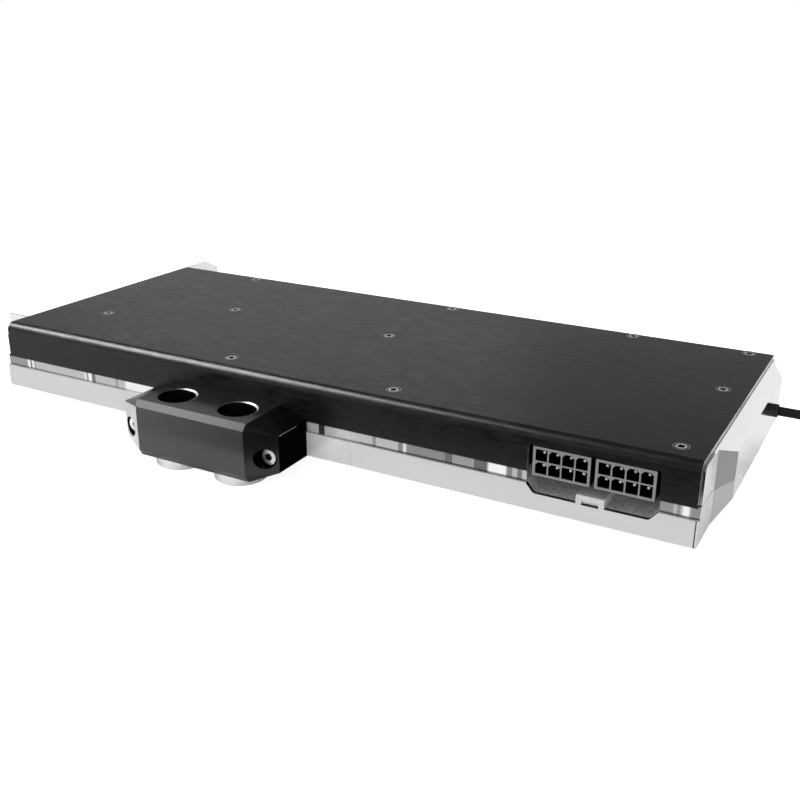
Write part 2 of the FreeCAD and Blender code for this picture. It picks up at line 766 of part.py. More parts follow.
def board_components():
    chip_low = board_under - s.chip_height
    memory = centred_block("MemoryChip", s.memory_width, s.memory_length, s.chip_height)
    node("memory_chips", copies("MemoryChips", memory, [(x, y, chip_low) for x, y in memory_places()]))
    memory_pad = centred_block("MemoryPad", s.memory_width, s.memory_length, s.pad_thickness)
    node("memory_pads", copies("MemoryPads", memory_pad, [(x, y, land_top) for x, y in memory_places()]))
    stage = centred_block("PowerStage", s.stage_length, s.stage_width, s.chip_height)
    node("power_stages", copies("PowerStages", stage, [(x, y, chip_low) for x, y, side in stage_places()]))
    stage_pad = centred_block("StagePad", s.stage_length, s.stage_width, s.pad_thickness)
    node("power_stage_pads",
         copies("PowerStagePads", stage_pad, [(x, y, land_top) for x, y, side in stage_places()]))
    choke = centred_block("Choke", s.choke_size, s.choke_size, s.choke_height)
    node("chokes", copies("Chokes", choke, [
        (x + side * s.choke_offset, y, board_under - s.choke_height) for x, y, side in stage_places()]))
    choke_right = s.stage_x + s.choke_offset + s.choke_size / 2
    can_middle = (choke_right + board_right) / 2
    can_left = can_middle - (s.capacitor_columns - 1) * s.capacitor_pitch / 2
    can = cylinder("Capacitor", (0, 0, 0), s.capacitor_radius, s.capacitor_height)
    node("capacitors", copies("Capacitors", can, [
        (can_left + column * s.capacitor_pitch, s.capacitor_first_y + row * s.capacitor_pitch,
         board_under - s.capacitor_height)
        for column in range(int(s.capacitor_columns.value))
        for row in range(int(s.capacitor_rows.value))]))


def video_middles():
    return [s.video_first_y + i * s.video_pitch for i in range(int(s.video_count.value))]


def video_sockets():
    """Display sockets: metal shells open at the bracket, with a contact tongue inside."""
    for number, middle in enumerate(video_middles(), start=1):
        body = new_body(f"DisplaySocketBody{number}")
        end = sketch_on(body, "YZ_Plane", bracket_face)
        low = board_under - s.display_height
        rectangle(end, middle - s.display_width / 2, middle + s.display_width / 2, low, board_under)
        pad(body, end, s.video_depth)
        mouth = sketch_on(body, "YZ_Plane", bracket_face)
        rectangle(mouth, middle - s.display_width / 2 + s.video_shell,
                  middle + s.display_width / 2 - s.video_shell,
                  low + s.video_shell, board_under - s.video_shell)
        pocket(body, mouth, s.video_mouth_depth, reverse=True)
        node(f"display_socket_{number}", body)


def slot_bracket():
    body = new_body("BracketBody")
    plate = sketch_on(body, "YZ_Plane", bracket_outer)
    low = s.bracket_top - s.bracket_width
    polygon(plate, (
        (s.bracket_front, low),
        (s.plate_depth, low),
        (s.plate_depth + s.bracket_shoulder_reach, s.tongue_lower_z),
        (bracket_tip - s.tip_taper / 2, s.tongue_lower_z),
        (bracket_tip, s.tip_lower_z),
        (bracket_tip, s.tip_upper_z),
        (bracket_tip - s.tip_taper, s.bracket_top),
        (s.bracket_front, s.bracket_top),
    ))
    pad(body, plate, s.bracket_thickness)
    lip = sketch_on(body, "XY_Plane", low)
    rectangle(lip, lip_end, bracket_outer, s.bracket_front, s.bracket_front + s.bracket_thickness)
    pad(body, lip, s.bracket_width)
    windows = sketch_on(body, "YZ_Plane", bracket_outer)
    for middle in video_middles():
        half = s.display_width / 2 + s.window_gap
        rectangle(windows, middle - half, middle + half,
                  board_under - s.display_height - s.window_gap, board_under + s.window_gap)
    pocket(body, windows, s.bracket_thickness + CUT_SLACK, reverse=True)
    notch_y = s.bracket_front - CUT_SLACK
    tools = [
        cylinder("lip_notch", (lip_end + s.lip_reach / 2, notch_y, s.lip_notch_z), s.lip_notch_radius,
                 s.bracket_thickness + 2 * CUT_SLACK, VY),
        box("lip_notch_run", (lip_end - CUT_SLACK, notch_y, s.lip_notch_z - s.lip_notch_radius),
            s.lip_reach / 2 + CUT_SLACK, s.bracket_thickness + 2 * CUT_SLACK, 2 * s.lip_notch_radius),
    ]
    for y in (s.bracket_screw_front_y, bracket_screw_back_y):
        tools.append(cylinder("bracket_hole", (bracket_outer - CUT_SLACK, y, s.bracket_screw_z),
                              s.screw_radius + s.screw_clearance,
                              s.bracket_thickness + 2 * CUT_SLACK, VX))
    node("slot_bracket", cut("SlotBracket", body, tools))


def bracket_screws():
    head = cylinder("bracket_screw_head", (-s.bracket_screw_head, 0, 0), s.screw_head_radius,
                    s.bracket_screw_head, VX)
    shank = cylinder("bracket_screw_shank", (0, 0, 0), s.screw_radius, s.left_block, VX)
    whole = fuse("BracketScrew", [head, shank])
    node("bracket_screws", copies("BracketScrews", whole, [
        (bracket_outer, y, s.bracket_screw_z) for y in (s.bracket_screw_front_y, bracket_screw_back_y)]))


# ---------------------------------------------------------------- frame

def end_outline(front):
    """Plan outline that the frame and the cold plate share, with the bulge at the right."""
    return (
        (-s.left_overhang, front),
        (corner_face, front),
        (corner_face, s.bulge_start_y),
        (end_face, s.bulge_full_y),
        (end_face, bulge_end_y),
        (corner_face, bulge_end_y + s.bulge_return),
        (corner_face, s.plate_depth),
        (-s.left_overhang, s.plate_depth),
    )


def side_frame():
    body = new_body("FrameBody")
    outline = sketch_on(body, "XY_Plane", cold_top)
    polygon(outline, end_outline(s.strip_recess))
    pad(body, outline, plate_under - cold_top)
    cavity = sketch_on(body, "XY_Plane", plate_under)
    block = -s.left_overhang + s.left_block
    beyond = -s.left_overhang - CUT_SLACK
    polygon(cavity, (
        (block, wall_back),
        (inner_end, wall_back),
        (inner_end, inner_back),
        (block, inner_back),
        (block, s.plate_depth - s.block_back_inset),
        (beyond, s.plate_depth - s.block_back_inset),
        (beyond, s.block_front_depth),
        (block, s.block_front_depth),
    ))
    pocket(body, cavity, plate_under - cold_top + CUT_SLACK)
    rail = sketch_on(body, "XY_Plane", cold_top)
    rectangle(rail, -s.left_overhang, block, s.block_front_depth, s.plate_depth - s.block_back_inset)
    pad(body, rail, s.left_rail_height)
    shelf = sketch_on(body, "XY_Plane", plate_under)
    rectangle(shelf, beyond, inner_end, 0, inner_back)
    pocket(body, shelf, plate_under - board_under)
    step = sketch_on(body, "XY_Plane", plate_under)
    rectangle(step, beyond, corner_face + CUT_SLACK, 0, wall_front)
    pocket(body, step, plate_under)
    window = sketch_on(body, "XY_Plane", plate_under)
    rectangle(window, sockets_left - s.cut_margin, sockets_right + s.cut_margin, 0, wall_back + CUT_SLACK)
    pocket(body, window, plate_under - cold_top + CUT_SLACK)
    tab = sketch_on(body, "XY_Plane", plate_under)
    rectangle(tab, s.tab_left - s.tab_clearance, s.tab_left + s.tab_length + s.tab_clearance,
              inner_back - CUT_SLACK, s.plate_depth + CUT_SLACK)
    pocket(body, tab, plate_under - board_under + s.tab_headroom)
    bevel = sketch_on(body, "XZ_Plane", -s.bulge_start_y + s.bulge_width)
    bevel_x = s.plate_length + s.bevel_start
    polygon(bevel, (
        (bevel_x, plate_under),
        (end_face + CUT_SLACK, s.bevel_bottom
         - (plate_under - s.bevel_bottom) * CUT_SLACK / (end_face - bevel_x)),
        (end_face + CUT_SLACK, plate_under + CUT_SLACK),
        (bevel_x, plate_under + CUT_SLACK),
    ))
    pocket(body, bevel, s.plate_depth)
    front_y, top = wall_front.value, plate_under.value
    round_edges(body, s.bend_radius - s.sheet_thickness, lambda edge: (
        runs_along(edge, VX) and abs(edge.Vertexes[0].Point.y - front_y) < 1e-6
        and abs(edge.Vertexes[0].Point.z - top) < 1e-6))
    hole = s.screw_radius + s.thread_gap
    depth = s.screw_length + CUT_SLACK
    tools = [cylinder("frame_hole", (x, y, s.plate_height - depth), hole, depth) for x, y in frame_screws]
    for y in (s.bracket_screw_front_y, bracket_screw_back_y):
        tools.append(cylinder("frame_bracket_hole", (-s.left_overhang - CUT_SLACK, y, s.bracket_screw_z),
                              hole, s.left_block, VX))
    for x, y in joint_screws:
        tools.append(cylinder("frame_joint_hole", (x, y, cold_top - CUT_SLACK), hole,
                              s.joint_reach + CUT_SLACK))
    tools.append(cylinder("lead_bore", (inner_end - CUT_SLACK, gland_y, s.gland_z),
                          s.lead_radius + s.lead_gap, s.end_block + s.bulge_width + 2 * CUT_SLACK, VX))
    tools.append(cylinder("gland_bore", (end_face - s.gland_seat, gland_y, s.gland_z),
                          s.gland_radius, s.gland_seat + CUT_SLACK, VX))
    node("side_frame", cut("SideFrame", body, tools))


# ---------------------------------------------------------------- cold plate and its cover

def lands(body):
    """Raised lands that meet the chips through their thermal pads, and the pedestal."""
    pads = sketch_on(body, "XY_Plane", cold_top)
    for x, y in memory_places():
        centred(pads, x, y, s.memory_width + 2 * s.land_margin, s.memory_length + 2 * s.land_margin)
    for column_x, first_y, count in ((s.stage_x, s.stage_first_y, s.stage_count),
                                     (s.stage_left_x, s.stage_left_first_y, s.stage_left_count)):
        last_y = first_y + (count - 1) * s.stage_pitch
        rectangle(pads, column_x - s.stage_length / 2 - s.land_margin,
                  column_x + s.stage_length / 2 + s.land_margin,
                  first_y - s.stage_width / 2 - s.land_margin,
                  last_y + s.stage_width / 2 + s.land_margin)
    pad(body, pads, land_top - cold_top)
    pedestal = sketch_on(body, "XY_Plane", cold_top)
    centred(pedestal, s.chip_middle_x, chip_y,
            s.die_length + 2 * s.pedestal_margin, s.die_width + 2 * s.pedestal_margin)
    pad(body, pedestal, die_face - cold_top)
    bosses = sketch_on(body, "XY_Plane", cold_top)
    for x, y in board_screws:
        circle(bosses, x, y, s.boss_radius)
    pad(body, bosses, board_under - cold_top)


def socket_pockets(body):
    """Milled pockets below the power sockets, with the tongue that stays between them."""
    floor = cold_top - s.cut_floor_drop
    above = cold_top + CUT_SLACK
    left = sockets_left - s.cut_margin
    right = sockets_right + s.cut_margin
    middle = (socket_x[0] + socket_x[1]) / 2 + s.tongue_offset
    tongue_left = middle - s.tongue_width / 2
    tongue_right = middle + s.tongue_width / 2
    profile = sketch_on(body, "XZ_Plane")
    polygon(profile, (
        (left, above), (left, cold_top), (left + s.cut_slant, floor),
        (tongue_left, floor), (tongue_left, above),
    ))
    polygon(profile, (
        (right, above), (right, cold_top), (right - s.cut_slant, floor),
        (tongue_right, floor), (tongue_right, above),
    ))
    pocket(body, profile, s.cut_depth)
    ends, floor_z = ((left + s.cut_slant).value, (right - s.cut_slant).value), floor.value
    round_edges(body, s.cut_corner, lambda edge: (
        runs_along(edge, VY) and abs(edge.Vertexes[0].Point.z - floor_z) < 1e-6
        and min(abs(edge.Vertexes[0].Point.x - x) for x in ends) < 1e-6))
    opening = sketch_on(body, "XZ_Plane")
    centred(opening, middle, cold_top - s.tongue_slot_drop - s.tongue_slot_height / 2,
            s.tongue_slot_width, s.tongue_slot_height)
    pocket(body, opening, s.tongue_slot_depth)


def fin_field(body):
    """Fins under the processor: one milled gap, repeated along Y."""
    first_y = chip_y - (s.fin_count - 1) * s.fin_pitch / 2
    gap = sketch_on(body, "XY_Plane", cold_bottom)
    centred(gap, s.chip_middle_x, first_y, s.fin_field_length, s.fin_gap)
    first = pocket(body, gap, s.channel_depth, reverse=True)
    doc.recompute()
    pattern = body.newObject("PartDesign::LinearPattern", "FinPattern")
    pattern.Originals = [first]
    y_axis = [item for item in body.Origin.OriginFeatures if item.Role == "Y_Axis"][0]
    pattern.Direction = (y_axis, [""])
    bind(pattern, "Length", (s.fin_count - 1) * s.fin_pitch)
    bind(pattern, "Occurrences", s.fin_count)
    body.Tip = pattern
    cuts.append(pattern)


def channels():
    """The coolant's way: in, through the fins, round the power stages, and out."""
    low = cold_bottom - CUT_SLACK
    depth = s.channel_depth + CUT_SLACK
    plenum_in = s.chip_middle_x - s.plenum_offset
    far_row_y = cover_back - s.far_row_inset
    loop_x = cover_right - s.loop_inset
    plenum_out = s.chip_middle_x + s.plenum_offset
    half_field = (s.fin_count - 1) * s.fin_pitch / 2
    runs = (
        ((plenum_in, s.feed_row_y), (port_x[0], s.feed_row_y)),
        ((plenum_in, s.feed_row_y), (plenum_in, chip_y + half_field)),
        ((plenum_out, chip_y - half_field + s.channel_width / 2), (plenum_out, far_row_y)),
        ((plenum_out, far_row_y), (loop_x, far_row_y)),
        ((loop_x, s.feed_row_y), (loop_x, far_row_y)),
        ((port_x[1], s.feed_row_y), (loop_x, s.feed_row_y)),
    )
    return [slot("channel", start, end, s.channel_width, low, depth) for start, end in runs]


def cover_screw_places():
    left = s.cover_left + s.cover_screw_inset
    right = cover_right - s.cover_screw_inset
    front = s.cover_front + s.cover_screw_inset
    back = cover_back - s.cover_screw_inset
    step = (right - left) / 3
    rows = [(left + i * step, y) for y in (front, back) for i in range(4)]
    return rows + [(x, (front + back) / 2) for x in (left, right)]


def gasket_edges(growth):
    """Gasket rectangle on its middle line, grown outward by growth."""
    inset = s.gasket_inset - growth
    return (s.cover_left + inset, cover_right - inset, s.cover_front + inset, cover_back - inset)


def gasket_ring(name, low, height):
    body = new_body(name)
    loop = sketch_on(body, "XY_Plane", low)
    rectangle(loop, *gasket_edges(s.gasket_width / 2))
    rectangle(loop, *gasket_edges(-s.gasket_width / 2))
    pad(body, loop, height)
    return body


def cold_plate():
    body = new_body("ColdPlateBody")
    outline = sketch_on(body, "XY_Plane", cold_bottom)
    polygon(outline, end_outline(0))
    pad(body, outline, s.cold_thickness)
    lower_bevel = sketch_on(body, "XZ_Plane")
    polygon(lower_bevel, (
        (corner_face, cold_bottom),
        (end_face + CUT_SLACK, cold_bottom + s.lower_bevel_height
         + s.lower_bevel_height * CUT_SLACK / (end_face - corner_face)),
        (end_face + CUT_SLACK, cold_bottom - CUT_SLACK),
        (corner_face, cold_bottom - CUT_SLACK),
    ))
    pocket(body, lower_bevel, s.plate_depth)
    lands(body)
    socket_pockets(body)
    fin_field(body)
    hole = s.screw_radius + s.thread_gap
    passing = s.screw_radius + s.screw_clearance
    head = s.screw_head_radius + s.thread_gap
    depth = s.screw_length + CUT_SLACK
    tools = channels()
    tools.append(gasket_ring("GasketGroove", cold_bottom - CUT_SLACK, s.gasket_height + CUT_SLACK))
    for x, y in board_screws:
        tools.append(cylinder("boss_hole", (x, y, s.plate_height - depth), hole, depth))
    for x, y in cover_screw_places():
        tools.append(cylinder("cover_hole", (x, y, cold_bottom - CUT_SLACK), hole,
                              s.cover_screw_reach + 2 * CUT_SLACK))
    for x, y in joint_screws:
        tools.append(cylinder("joint_hole", (x, y, cold_bottom - CUT_SLACK), passing,
                              s.cold_thickness + 2 * CUT_SLACK))
        tools.append(cone("joint_sink", (x, y, cold_bottom), head, passing, head - passing))
    for x in port_x:
        tools.append(cylinder("feed_bore", (x, -CUT_SLACK, s.bore_z), s.bore_radius,
                              s.feed_row_y + CUT_SLACK, VY))
    for side in (-1, 1):
        tools.append(cylinder("clamp_hole", (s.terminal_x + side * clamp_half_spacing, -CUT_SLACK, s.clamp_z),
                              s.clamp_shank + s.thread_gap, s.clamp_reach + 2 * CUT_SLACK, VY))
    node("cold_plate", cut("ColdPlate", body, tools))


def cover():
    body = new_body("CoverBody")
    outline = sketch_on(body, "XY_Plane", stand_z)
    rectangle(outline, s.cover_left, cover_right, s.cover_front, cover_back)
    pad(body, outline, s.cover_thickness)
    round_edges(body, s.cover_corner, lambda edge: runs_along(edge, VZ))
    passing = s.screw_radius + s.screw_clearance
    head = s.screw_head_radius + s.thread_gap
    tools = []
    for x, y in cover_screw_places():
        tools.append(cylinder("cover_passing", (x, y, stand_z - CUT_SLACK), passing,
                              s.cover_thickness + 2 * CUT_SLACK))
        tools.append(cone("cover_sink", (x, y, stand_z), head, passing, head - passing))
    node("cover", cut("Cover", body, tools))
    node("cover_gasket", gasket_ring("CoverGasket", cold_bottom, s.gasket_height))
    screw = countersunk_screw("CoverScrew", s.cover_thickness + s.cover_screw_reach, side=-1)
    node("cover_screws", copies("CoverScrews", screw, [(x, y, stand_z) for x, y in cover_screw_places()]))
    joint = countersunk_screw("FrameScrew", s.cold_thickness + s.joint_reach - CUT_SLACK, side=-1)
    node("frame_screws", copies("FrameScrews", joint, [(x, y, cold_bottom) for x, y in joint_screws]))


# ---------------------------------------------------------------- terminal block

def past(a, b):
    """The point a little beyond b on the line from a to b."""
    share = 0.2
    return tuple(q + share * (q - p) for p, q in zip(a, b))


def facet_tool(name, p, q, r, inside):
    """A block that cuts the corner off along the plane through p, q and r."""
    p, q, r, inside = (FreeCAD.Vector(*[as_size(c).value for c in point]) for point in (p, q, r, inside))
    normal = (q - p).cross(r - p).normalize()
    if (inside - p).dot(normal) > 0:
        normal = -normal
    reach = s.terminal_depth
    thing = doc.addObject("Part::Box", name)
    bind(thing, "Length", 2 * reach)
    bind(thing, "Width", 2 * reach)
    bind(thing, "Height", reach / 2)
    turn = FreeCAD.Rotation(VZ, normal)
    corner = turn.multVec(FreeCAD.Vector(-reach.value, -reach.value, 0))
    thing.Placement = FreeCAD.Placement((p + q + r) / 3 + corner, turn)
    return thing


def terminal_body():
    """Faceted block: plan outline, sloped ends, front chamfers and the corner facets."""
    body = new_body("TerminalBody")
    x, z = s.terminal_x, s.terminal_middle_z
    plan = sketch_on(body, "XY_Plane", terminal_bottom)
    polygon(plan, (
        (x - s.terminal_half_length, 0),
        (x - s.terminal_half_length, -s.terminal_side_depth),
        (x - terminal_front_half, -s.terminal_depth),
        (x + terminal_front_half, -s.terminal_depth),
        (x + s.terminal_half_length, -s.terminal_side_depth),
        (x + s.terminal_half_length, 0),
    ))
    pad(body, plan, 2 * s.terminal_half_height)
    slopes = sketch_on(body, "XZ_Plane", s.terminal_depth)
    for sx in (-1, 1):
        for sz in (-1, 1):
            upper = (x + sx * terminal_top_half, z + sz * s.terminal_half_height)
            lower = (x + sx * s.terminal_half_length, z + sz * s.terminal_side_half)
            beyond = past(upper, lower)
            over = z + sz * (s.terminal_half_height + CUT_SLACK)
            polygon(slopes, (upper, beyond, (beyond[0], over), (upper[0], over)))
    pocket(body, slopes, s.terminal_depth + CUT_SLACK)
    chamfers = sketch_on(body, "YZ_Plane", x - s.terminal_half_length)
    for sz in (-1, 1):
        upper = (-s.terminal_edge_depth, z + sz * s.terminal_half_height)
        lower = (-s.terminal_depth, z + sz * s.terminal_face_half)
        beyond = past(upper, lower)
        over = z + sz * (s.terminal_half_height + CUT_SLACK)
        polygon(chamfers, (upper, beyond, (beyond[0], over), (upper[0], over)))
    pocket(body, chamfers, 2 * s.terminal_half_length, reverse=True)
    return body


def terminal_block():
    body = terminal_body()
    x, z = s.terminal_x, s.terminal_middle_z
    tools = []
    for sx in (-1, 1):
        for sz in (-1, 1):
            tools.append(facet_tool(
                "corner_facet",
                (x + sx * terminal_top_half, -s.terminal_edge_depth, z + sz * s.terminal_half_height),
                (x + sx * terminal_front_half, -s.terminal_depth, z + sz * s.terminal_face_half),
                (x + sx * s.terminal_half_length, -s.terminal_side_depth, z + sz * s.terminal_side_half),
                (x, 0, z)))
        clamp_x = x + sx * clamp_half_spacing
        tools.append(cylinder("clamp_bore", (clamp_x, -s.terminal_depth - CUT_SLACK, s.clamp_z), s.clamp_bore,
                              s.terminal_depth - s.clamp_seat + CUT_SLACK, VY))
        tools.append(cylinder("clamp_passing", (clamp_x, -s.terminal_depth, s.clamp_z),
                              s.clamp_shank + s.lead_gap, s.terminal_depth + CUT_SLACK, VY))
    for px in port_x:
        tools.append(cylinder("waterway", (px, -s.port_depth, terminal_bottom), s.waterway_radius,
                              2 * s.terminal_half_height))
        tools.append(cylinder("upper_port", (px, -s.port_depth, terminal_top - s.port_thread),
                              s.port_radius, s.port_thread + CUT_SLACK))
        tools.append(cylinder("lower_port", (px, -s.port_depth, terminal_bottom - CUT_SLACK),
                              s.port_radius, s.port_thread + CUT_SLACK))
        tools.append(cone("port_mouth", (px, -s.port_depth, terminal_top - s.port_mouth),
                          s.port_radius, s.port_radius + s.port_mouth, s.port_mouth))
        tools.append(cylinder("cross_bore", (px, -s.port_depth, s.bore_z), s.bore_radius,
                              s.port_depth + CUT_SLACK, VY))
        half = s.seal_groove / 2
        groove = cut("seal_groove",
                     cylinder("groove_outer", (px, -s.seal_groove, s.bore_z), s.seal_radius + half,
                              s.seal_groove + CUT_SLACK, VY),
                     [cylinder("groove_inner", (px, -s.seal_groove - CUT_SLACK, s.bore_z),
                               s.seal_radius - half, s.seal_groove + 3 * CUT_SLACK, VY)])
        tools.append(groove)
    node("terminal_block", cut("TerminalBlock", body, tools))


def terminal_hardware():
    ring = doc.addObject("Part::Torus", "TerminalSeal")
    bind(ring, "Radius1", s.seal_radius)
    bind(ring, "Radius2", s.seal_section)
    ring.Placement = FreeCAD.Placement(FreeCAD.Vector(), FreeCAD.Rotation(VZ, VY))
    node("terminal_seals", copies("TerminalSeals", ring,
                                  [(px, -s.seal_groove / 2, s.bore_z) for px in port_x]))
    head = cylinder("clamp_head", (0, -s.clamp_seat - s.clamp_head_height, 0), s.clamp_head,
                    s.clamp_head_height, VY)
    shank = cylinder("clamp_shank", (0, -s.clamp_seat, 0), s.clamp_shank, s.clamp_seat + s.clamp_reach, VY)
    recess = doc.addObject("Part::Prism", "clamp_recess")
    recess.Polygon = 6
    bind(recess, "Circumradius", s.clamp_recess_flat / math.sqrt(3))
    bind(recess, "Height", s.clamp_recess_depth + CUT_SLACK)
    recess.Placement = FreeCAD.Placement(FreeCAD.Vector(), FreeCAD.Rotation(VZ, VY))
    place(recess, 0, -s.clamp_seat - s.clamp_head_height - CUT_SLACK, 0)
    screw = cut("ClampScrew", fuse("clamp_screw_blank", [head, shank]), [recess])
    node("terminal_screws", copies("TerminalScrews", screw, [
        (s.terminal_x + side * clamp_half_spacing, 0, s.clamp_z) for side in (-1, 1)]))


def port_plugs():
    body = new_body("PortPlug")
    profile = sketch_on(body, "XZ_Plane")
    thread = s.port_radius - s.plug_thread_gap
    edge = s.port_mouth
    polygon(profile, (
        (0, s.plug_thread),
        (thread, s.plug_thread),
        (thread, -s.plug_seal_height),
        (s.plug_seal_outer, -s.plug_seal_height),
        (s.plug_seal_outer, 0),
        (s.plug_radius, 0),
        (s.plug_radius, -s.plug_head + edge),
        (s.plug_radius - edge, -s.plug_head),
        (0, -s.plug_head),
    ))
    revolve(body, profile)
    recess = sketch_on(body, "XY_Plane", -s.plug_head)
    hexagon(recess, 2 * s.plug_slot_radius)
    pocket(body, recess, s.plug_slot_depth, reverse=True)
    places = [(px, -s.port_depth, terminal_bottom) for px in port_x]
    node("port_plugs", copies("PortPlugs", body, places))
    ring = cut("PlugSeal", cylinder("plug_seal_outer", (0, 0, -s.plug_seal_height), s.plug_seal_outer,
                                    s.plug_seal_height),
               [cylinder("plug_seal_inner", (0, 0, -s.plug_seal_height), thread, s.plug_seal_height)])
    node("plug_seals", copies("PlugSeals", ring, places))


# ---------------------------------------------------------------- lighting lead

ROUTE = (
    # the lead's points after its start, as steps from the middle of its way out of the end face
    (11.5, 0.0, 0.0),
    (26.5, 1.7, -1.1),
    (44.5, 4.3, -12.2),
    (62.0, 5.3, -21.3),
    (79.5, 5.0, -21.3),
)


def rounded_path(points):
    """Straight runs joined by tangent arcs, each as large as its two runs allow."""
    share = 0.45
    edges = []
    last = points[0]
    for before, corner, after in zip(points, points[1:], points[2:]):
        back = before - corner
        ahead = after - corner
        half_turn = (math.pi - back.getAngle(ahead)) / 2
        reach = share * min(back.Length, ahead.Length)
        radius = reach / math.tan(half_turn)
        start = corner + back.normalize() * reach
        end = corner + ahead.normalize() * reach
        to_centre = (back + ahead).normalize() * (reach / math.sin(half_turn))
        middle = corner + to_centre - to_centre.normalize() * radius
        edges.append(Part.LineSegment(last, start).toShape())
        edges.append(Part.Arc(start, middle, end).toShape())
        print(f"lead bend radius {radius:.1f} mm")
        last = end
    edges.append(Part.LineSegment(last, points[-1]).toShape())
    return Part.Wire(edges)


def lighting():
    low_z = s.gland_z - s.strip_height / 2
    node("light_strip", box("LightStrip", (inner_end - s.strip_thickness, gland_y - s.strip_length / 2, low_z),
                            s.strip_thickness, s.strip_length, s.strip_height))
    seat_x = end_face - s.gland_seat
    node("strip_tail", cylinder("StripTail", (inner_end, gland_y, s.gland_z), s.lead_radius,
                                seat_x - inner_end, VX))
    sleeve = cylinder("sleeve", (seat_x, gland_y, s.gland_z), s.gland_radius - s.thread_gap,
                      s.gland_seat + s.gland_reach, VX)
    bore = cylinder("sleeve_bore", (seat_x - CUT_SLACK, gland_y, s.gland_z), s.lead_radius + s.lead_gap,
                    s.gland_seat + s.gland_reach + 2 * CUT_SLACK, VX)
    node("lead_sleeve", cut("LeadSleeve", sleeve, [bore]))


def lead():
    seat = FreeCAD.Vector((end_face - s.gland_seat).value, gland_y.value, s.gland_z.value)
    way_out = FreeCAD.Vector(end_face.value, gland_y.value, s.gland_z.value)
    points = [seat] + [way_out + FreeCAD.Vector(*step) for step in ROUTE]
    path = rounded_path(points)
    section = Part.Wire(Part.makeCircle(s.lead_radius.value, seat, VX))
    tube = path.makePipeShell([section], True, False)
    expected = math.pi * s.lead_radius.value ** 2 * path.Length
    print(f"lead tube {path.Length:.1f} mm long, volume {tube.Volume:.1f} of {expected:.1f} mm3")
    thing = doc.addObject("Part::Feature", "Lead")
    thing.Shape = tube
    node("lead", thing)
    coil_x = end_face + ROUTE[-1][0]
    entry_y = gland_y + ROUTE[-1][1]
    coil_y = entry_y + s.coil_middle_radius
    outer = s.coil_middle_radius + 2 * s.lead_radius
    inner = s.coil_middle_radius - 2 * s.lead_radius
    height = 4 * s.lead_radius
    way_in = box("coil_way_in", (coil_x - outer, coil_y - outer - CUT_SLACK, stand_z - CUT_SLACK),
                 outer + s.lead_gap, entry_y + s.lead_radius + s.flange_gap - (coil_y - outer - CUT_SLACK),
                 2 * s.lead_radius + CUT_SLACK + s.lead_gap)
    coil = cut("LeadCoil", cylinder("coil_outer", (coil_x, coil_y, stand_z), outer, height),
               [cylinder("coil_inner", (coil_x, coil_y, stand_z - CUT_SLACK), inner,
                         height + 2 * CUT_SLACK), way_in])
    node("lead_coil", coil)
    node("lead_connector", box(
        "LeadConnector",
        (coil_x - s.connector_length / 2, coil_y + s.coil_middle_radius - s.connector_width / 2,
         stand_z + height),
        s.connector_length, s.connector_width, s.connector_height))


# ---------------------------------------------------------------- build and write

def build():
    backplate()
    backplate_hardware()
    circuit_board()
    for number, middle_x in enumerate(socket_x, start=1):
        power_socket(number, middle_x)
    power_pins()
    processor()
    board_components()
    video_sockets()
    slot_bracket()
    bracket_screws()
    side_frame()
    cold_plate()
    cover()
    terminal_block()
    terminal_hardware()
    port_plugs()
    lighting()
    lead()
    doc.recompute()


def check():
    for thing in doc.Objects:
        if "Invalid" in thing.State or "Error" in thing.State:
            raise RuntimeError(f"{thing.Label} failed: {thing.State}")
    for feature in cuts:
        before = feature.Base if feature.isDerivedFrom("Part::Cut") else feature.BaseFeature
        if feature.Shape.Volume >= before.Shape.Volume - 1e-6:
            raise RuntimeError(f"{feature.Label} removes nothing")
    for name, thing in nodes.items():
        if thing.Shape.isNull() or not thing.Shape.isValid():
            raise RuntimeError(f"{name} has no valid shape")


def write():
    os.makedirs("parts", exist_ok=True)
    for name, thing in nodes.items():
        thing.Shape.exportStep(os.path.join("parts", name + ".step"))
        print(f"{name}: {len(thing.Shape.Solids)} solids, {thing.Shape.Volume:.0f} mm3")


build()
check()
write()
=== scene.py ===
import math

import bmesh
import bpy
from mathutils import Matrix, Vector


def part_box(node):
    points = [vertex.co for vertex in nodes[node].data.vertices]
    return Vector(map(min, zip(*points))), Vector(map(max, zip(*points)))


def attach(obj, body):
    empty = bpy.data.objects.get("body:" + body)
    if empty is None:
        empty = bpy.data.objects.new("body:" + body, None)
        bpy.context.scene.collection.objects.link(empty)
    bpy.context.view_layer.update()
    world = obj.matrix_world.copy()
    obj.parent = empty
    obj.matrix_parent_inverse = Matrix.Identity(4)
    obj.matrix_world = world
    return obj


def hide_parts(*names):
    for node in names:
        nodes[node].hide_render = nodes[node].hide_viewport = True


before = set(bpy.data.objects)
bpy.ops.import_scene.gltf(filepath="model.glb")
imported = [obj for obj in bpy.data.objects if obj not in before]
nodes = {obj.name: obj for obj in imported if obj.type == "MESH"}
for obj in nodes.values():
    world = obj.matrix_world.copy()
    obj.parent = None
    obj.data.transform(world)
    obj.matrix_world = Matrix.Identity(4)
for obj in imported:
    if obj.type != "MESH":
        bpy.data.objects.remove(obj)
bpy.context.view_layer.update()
MM = 0.001


# Backplate: 1.5 mm aluminium sheet, folded once along the front, brushed along its length
# and then anodised black. The cut ends are bare metal. Eleven countersunk screws hold it.

def material(name):
    """An empty node material and its Principled shader."""
    made = bpy.data.materials.new(name)
    made.use_nodes = True
    return made, made.node_tree, made.node_tree.nodes["Principled BSDF"]


def add(tree, kind, **inputs):
    """A node of that kind; a keyword sets the input of that name, with _ for a space."""
    made = tree.nodes.new(kind)
    for name, value in inputs.items():
        made.inputs[name.replace("_", " ")].default_value = value
    return made


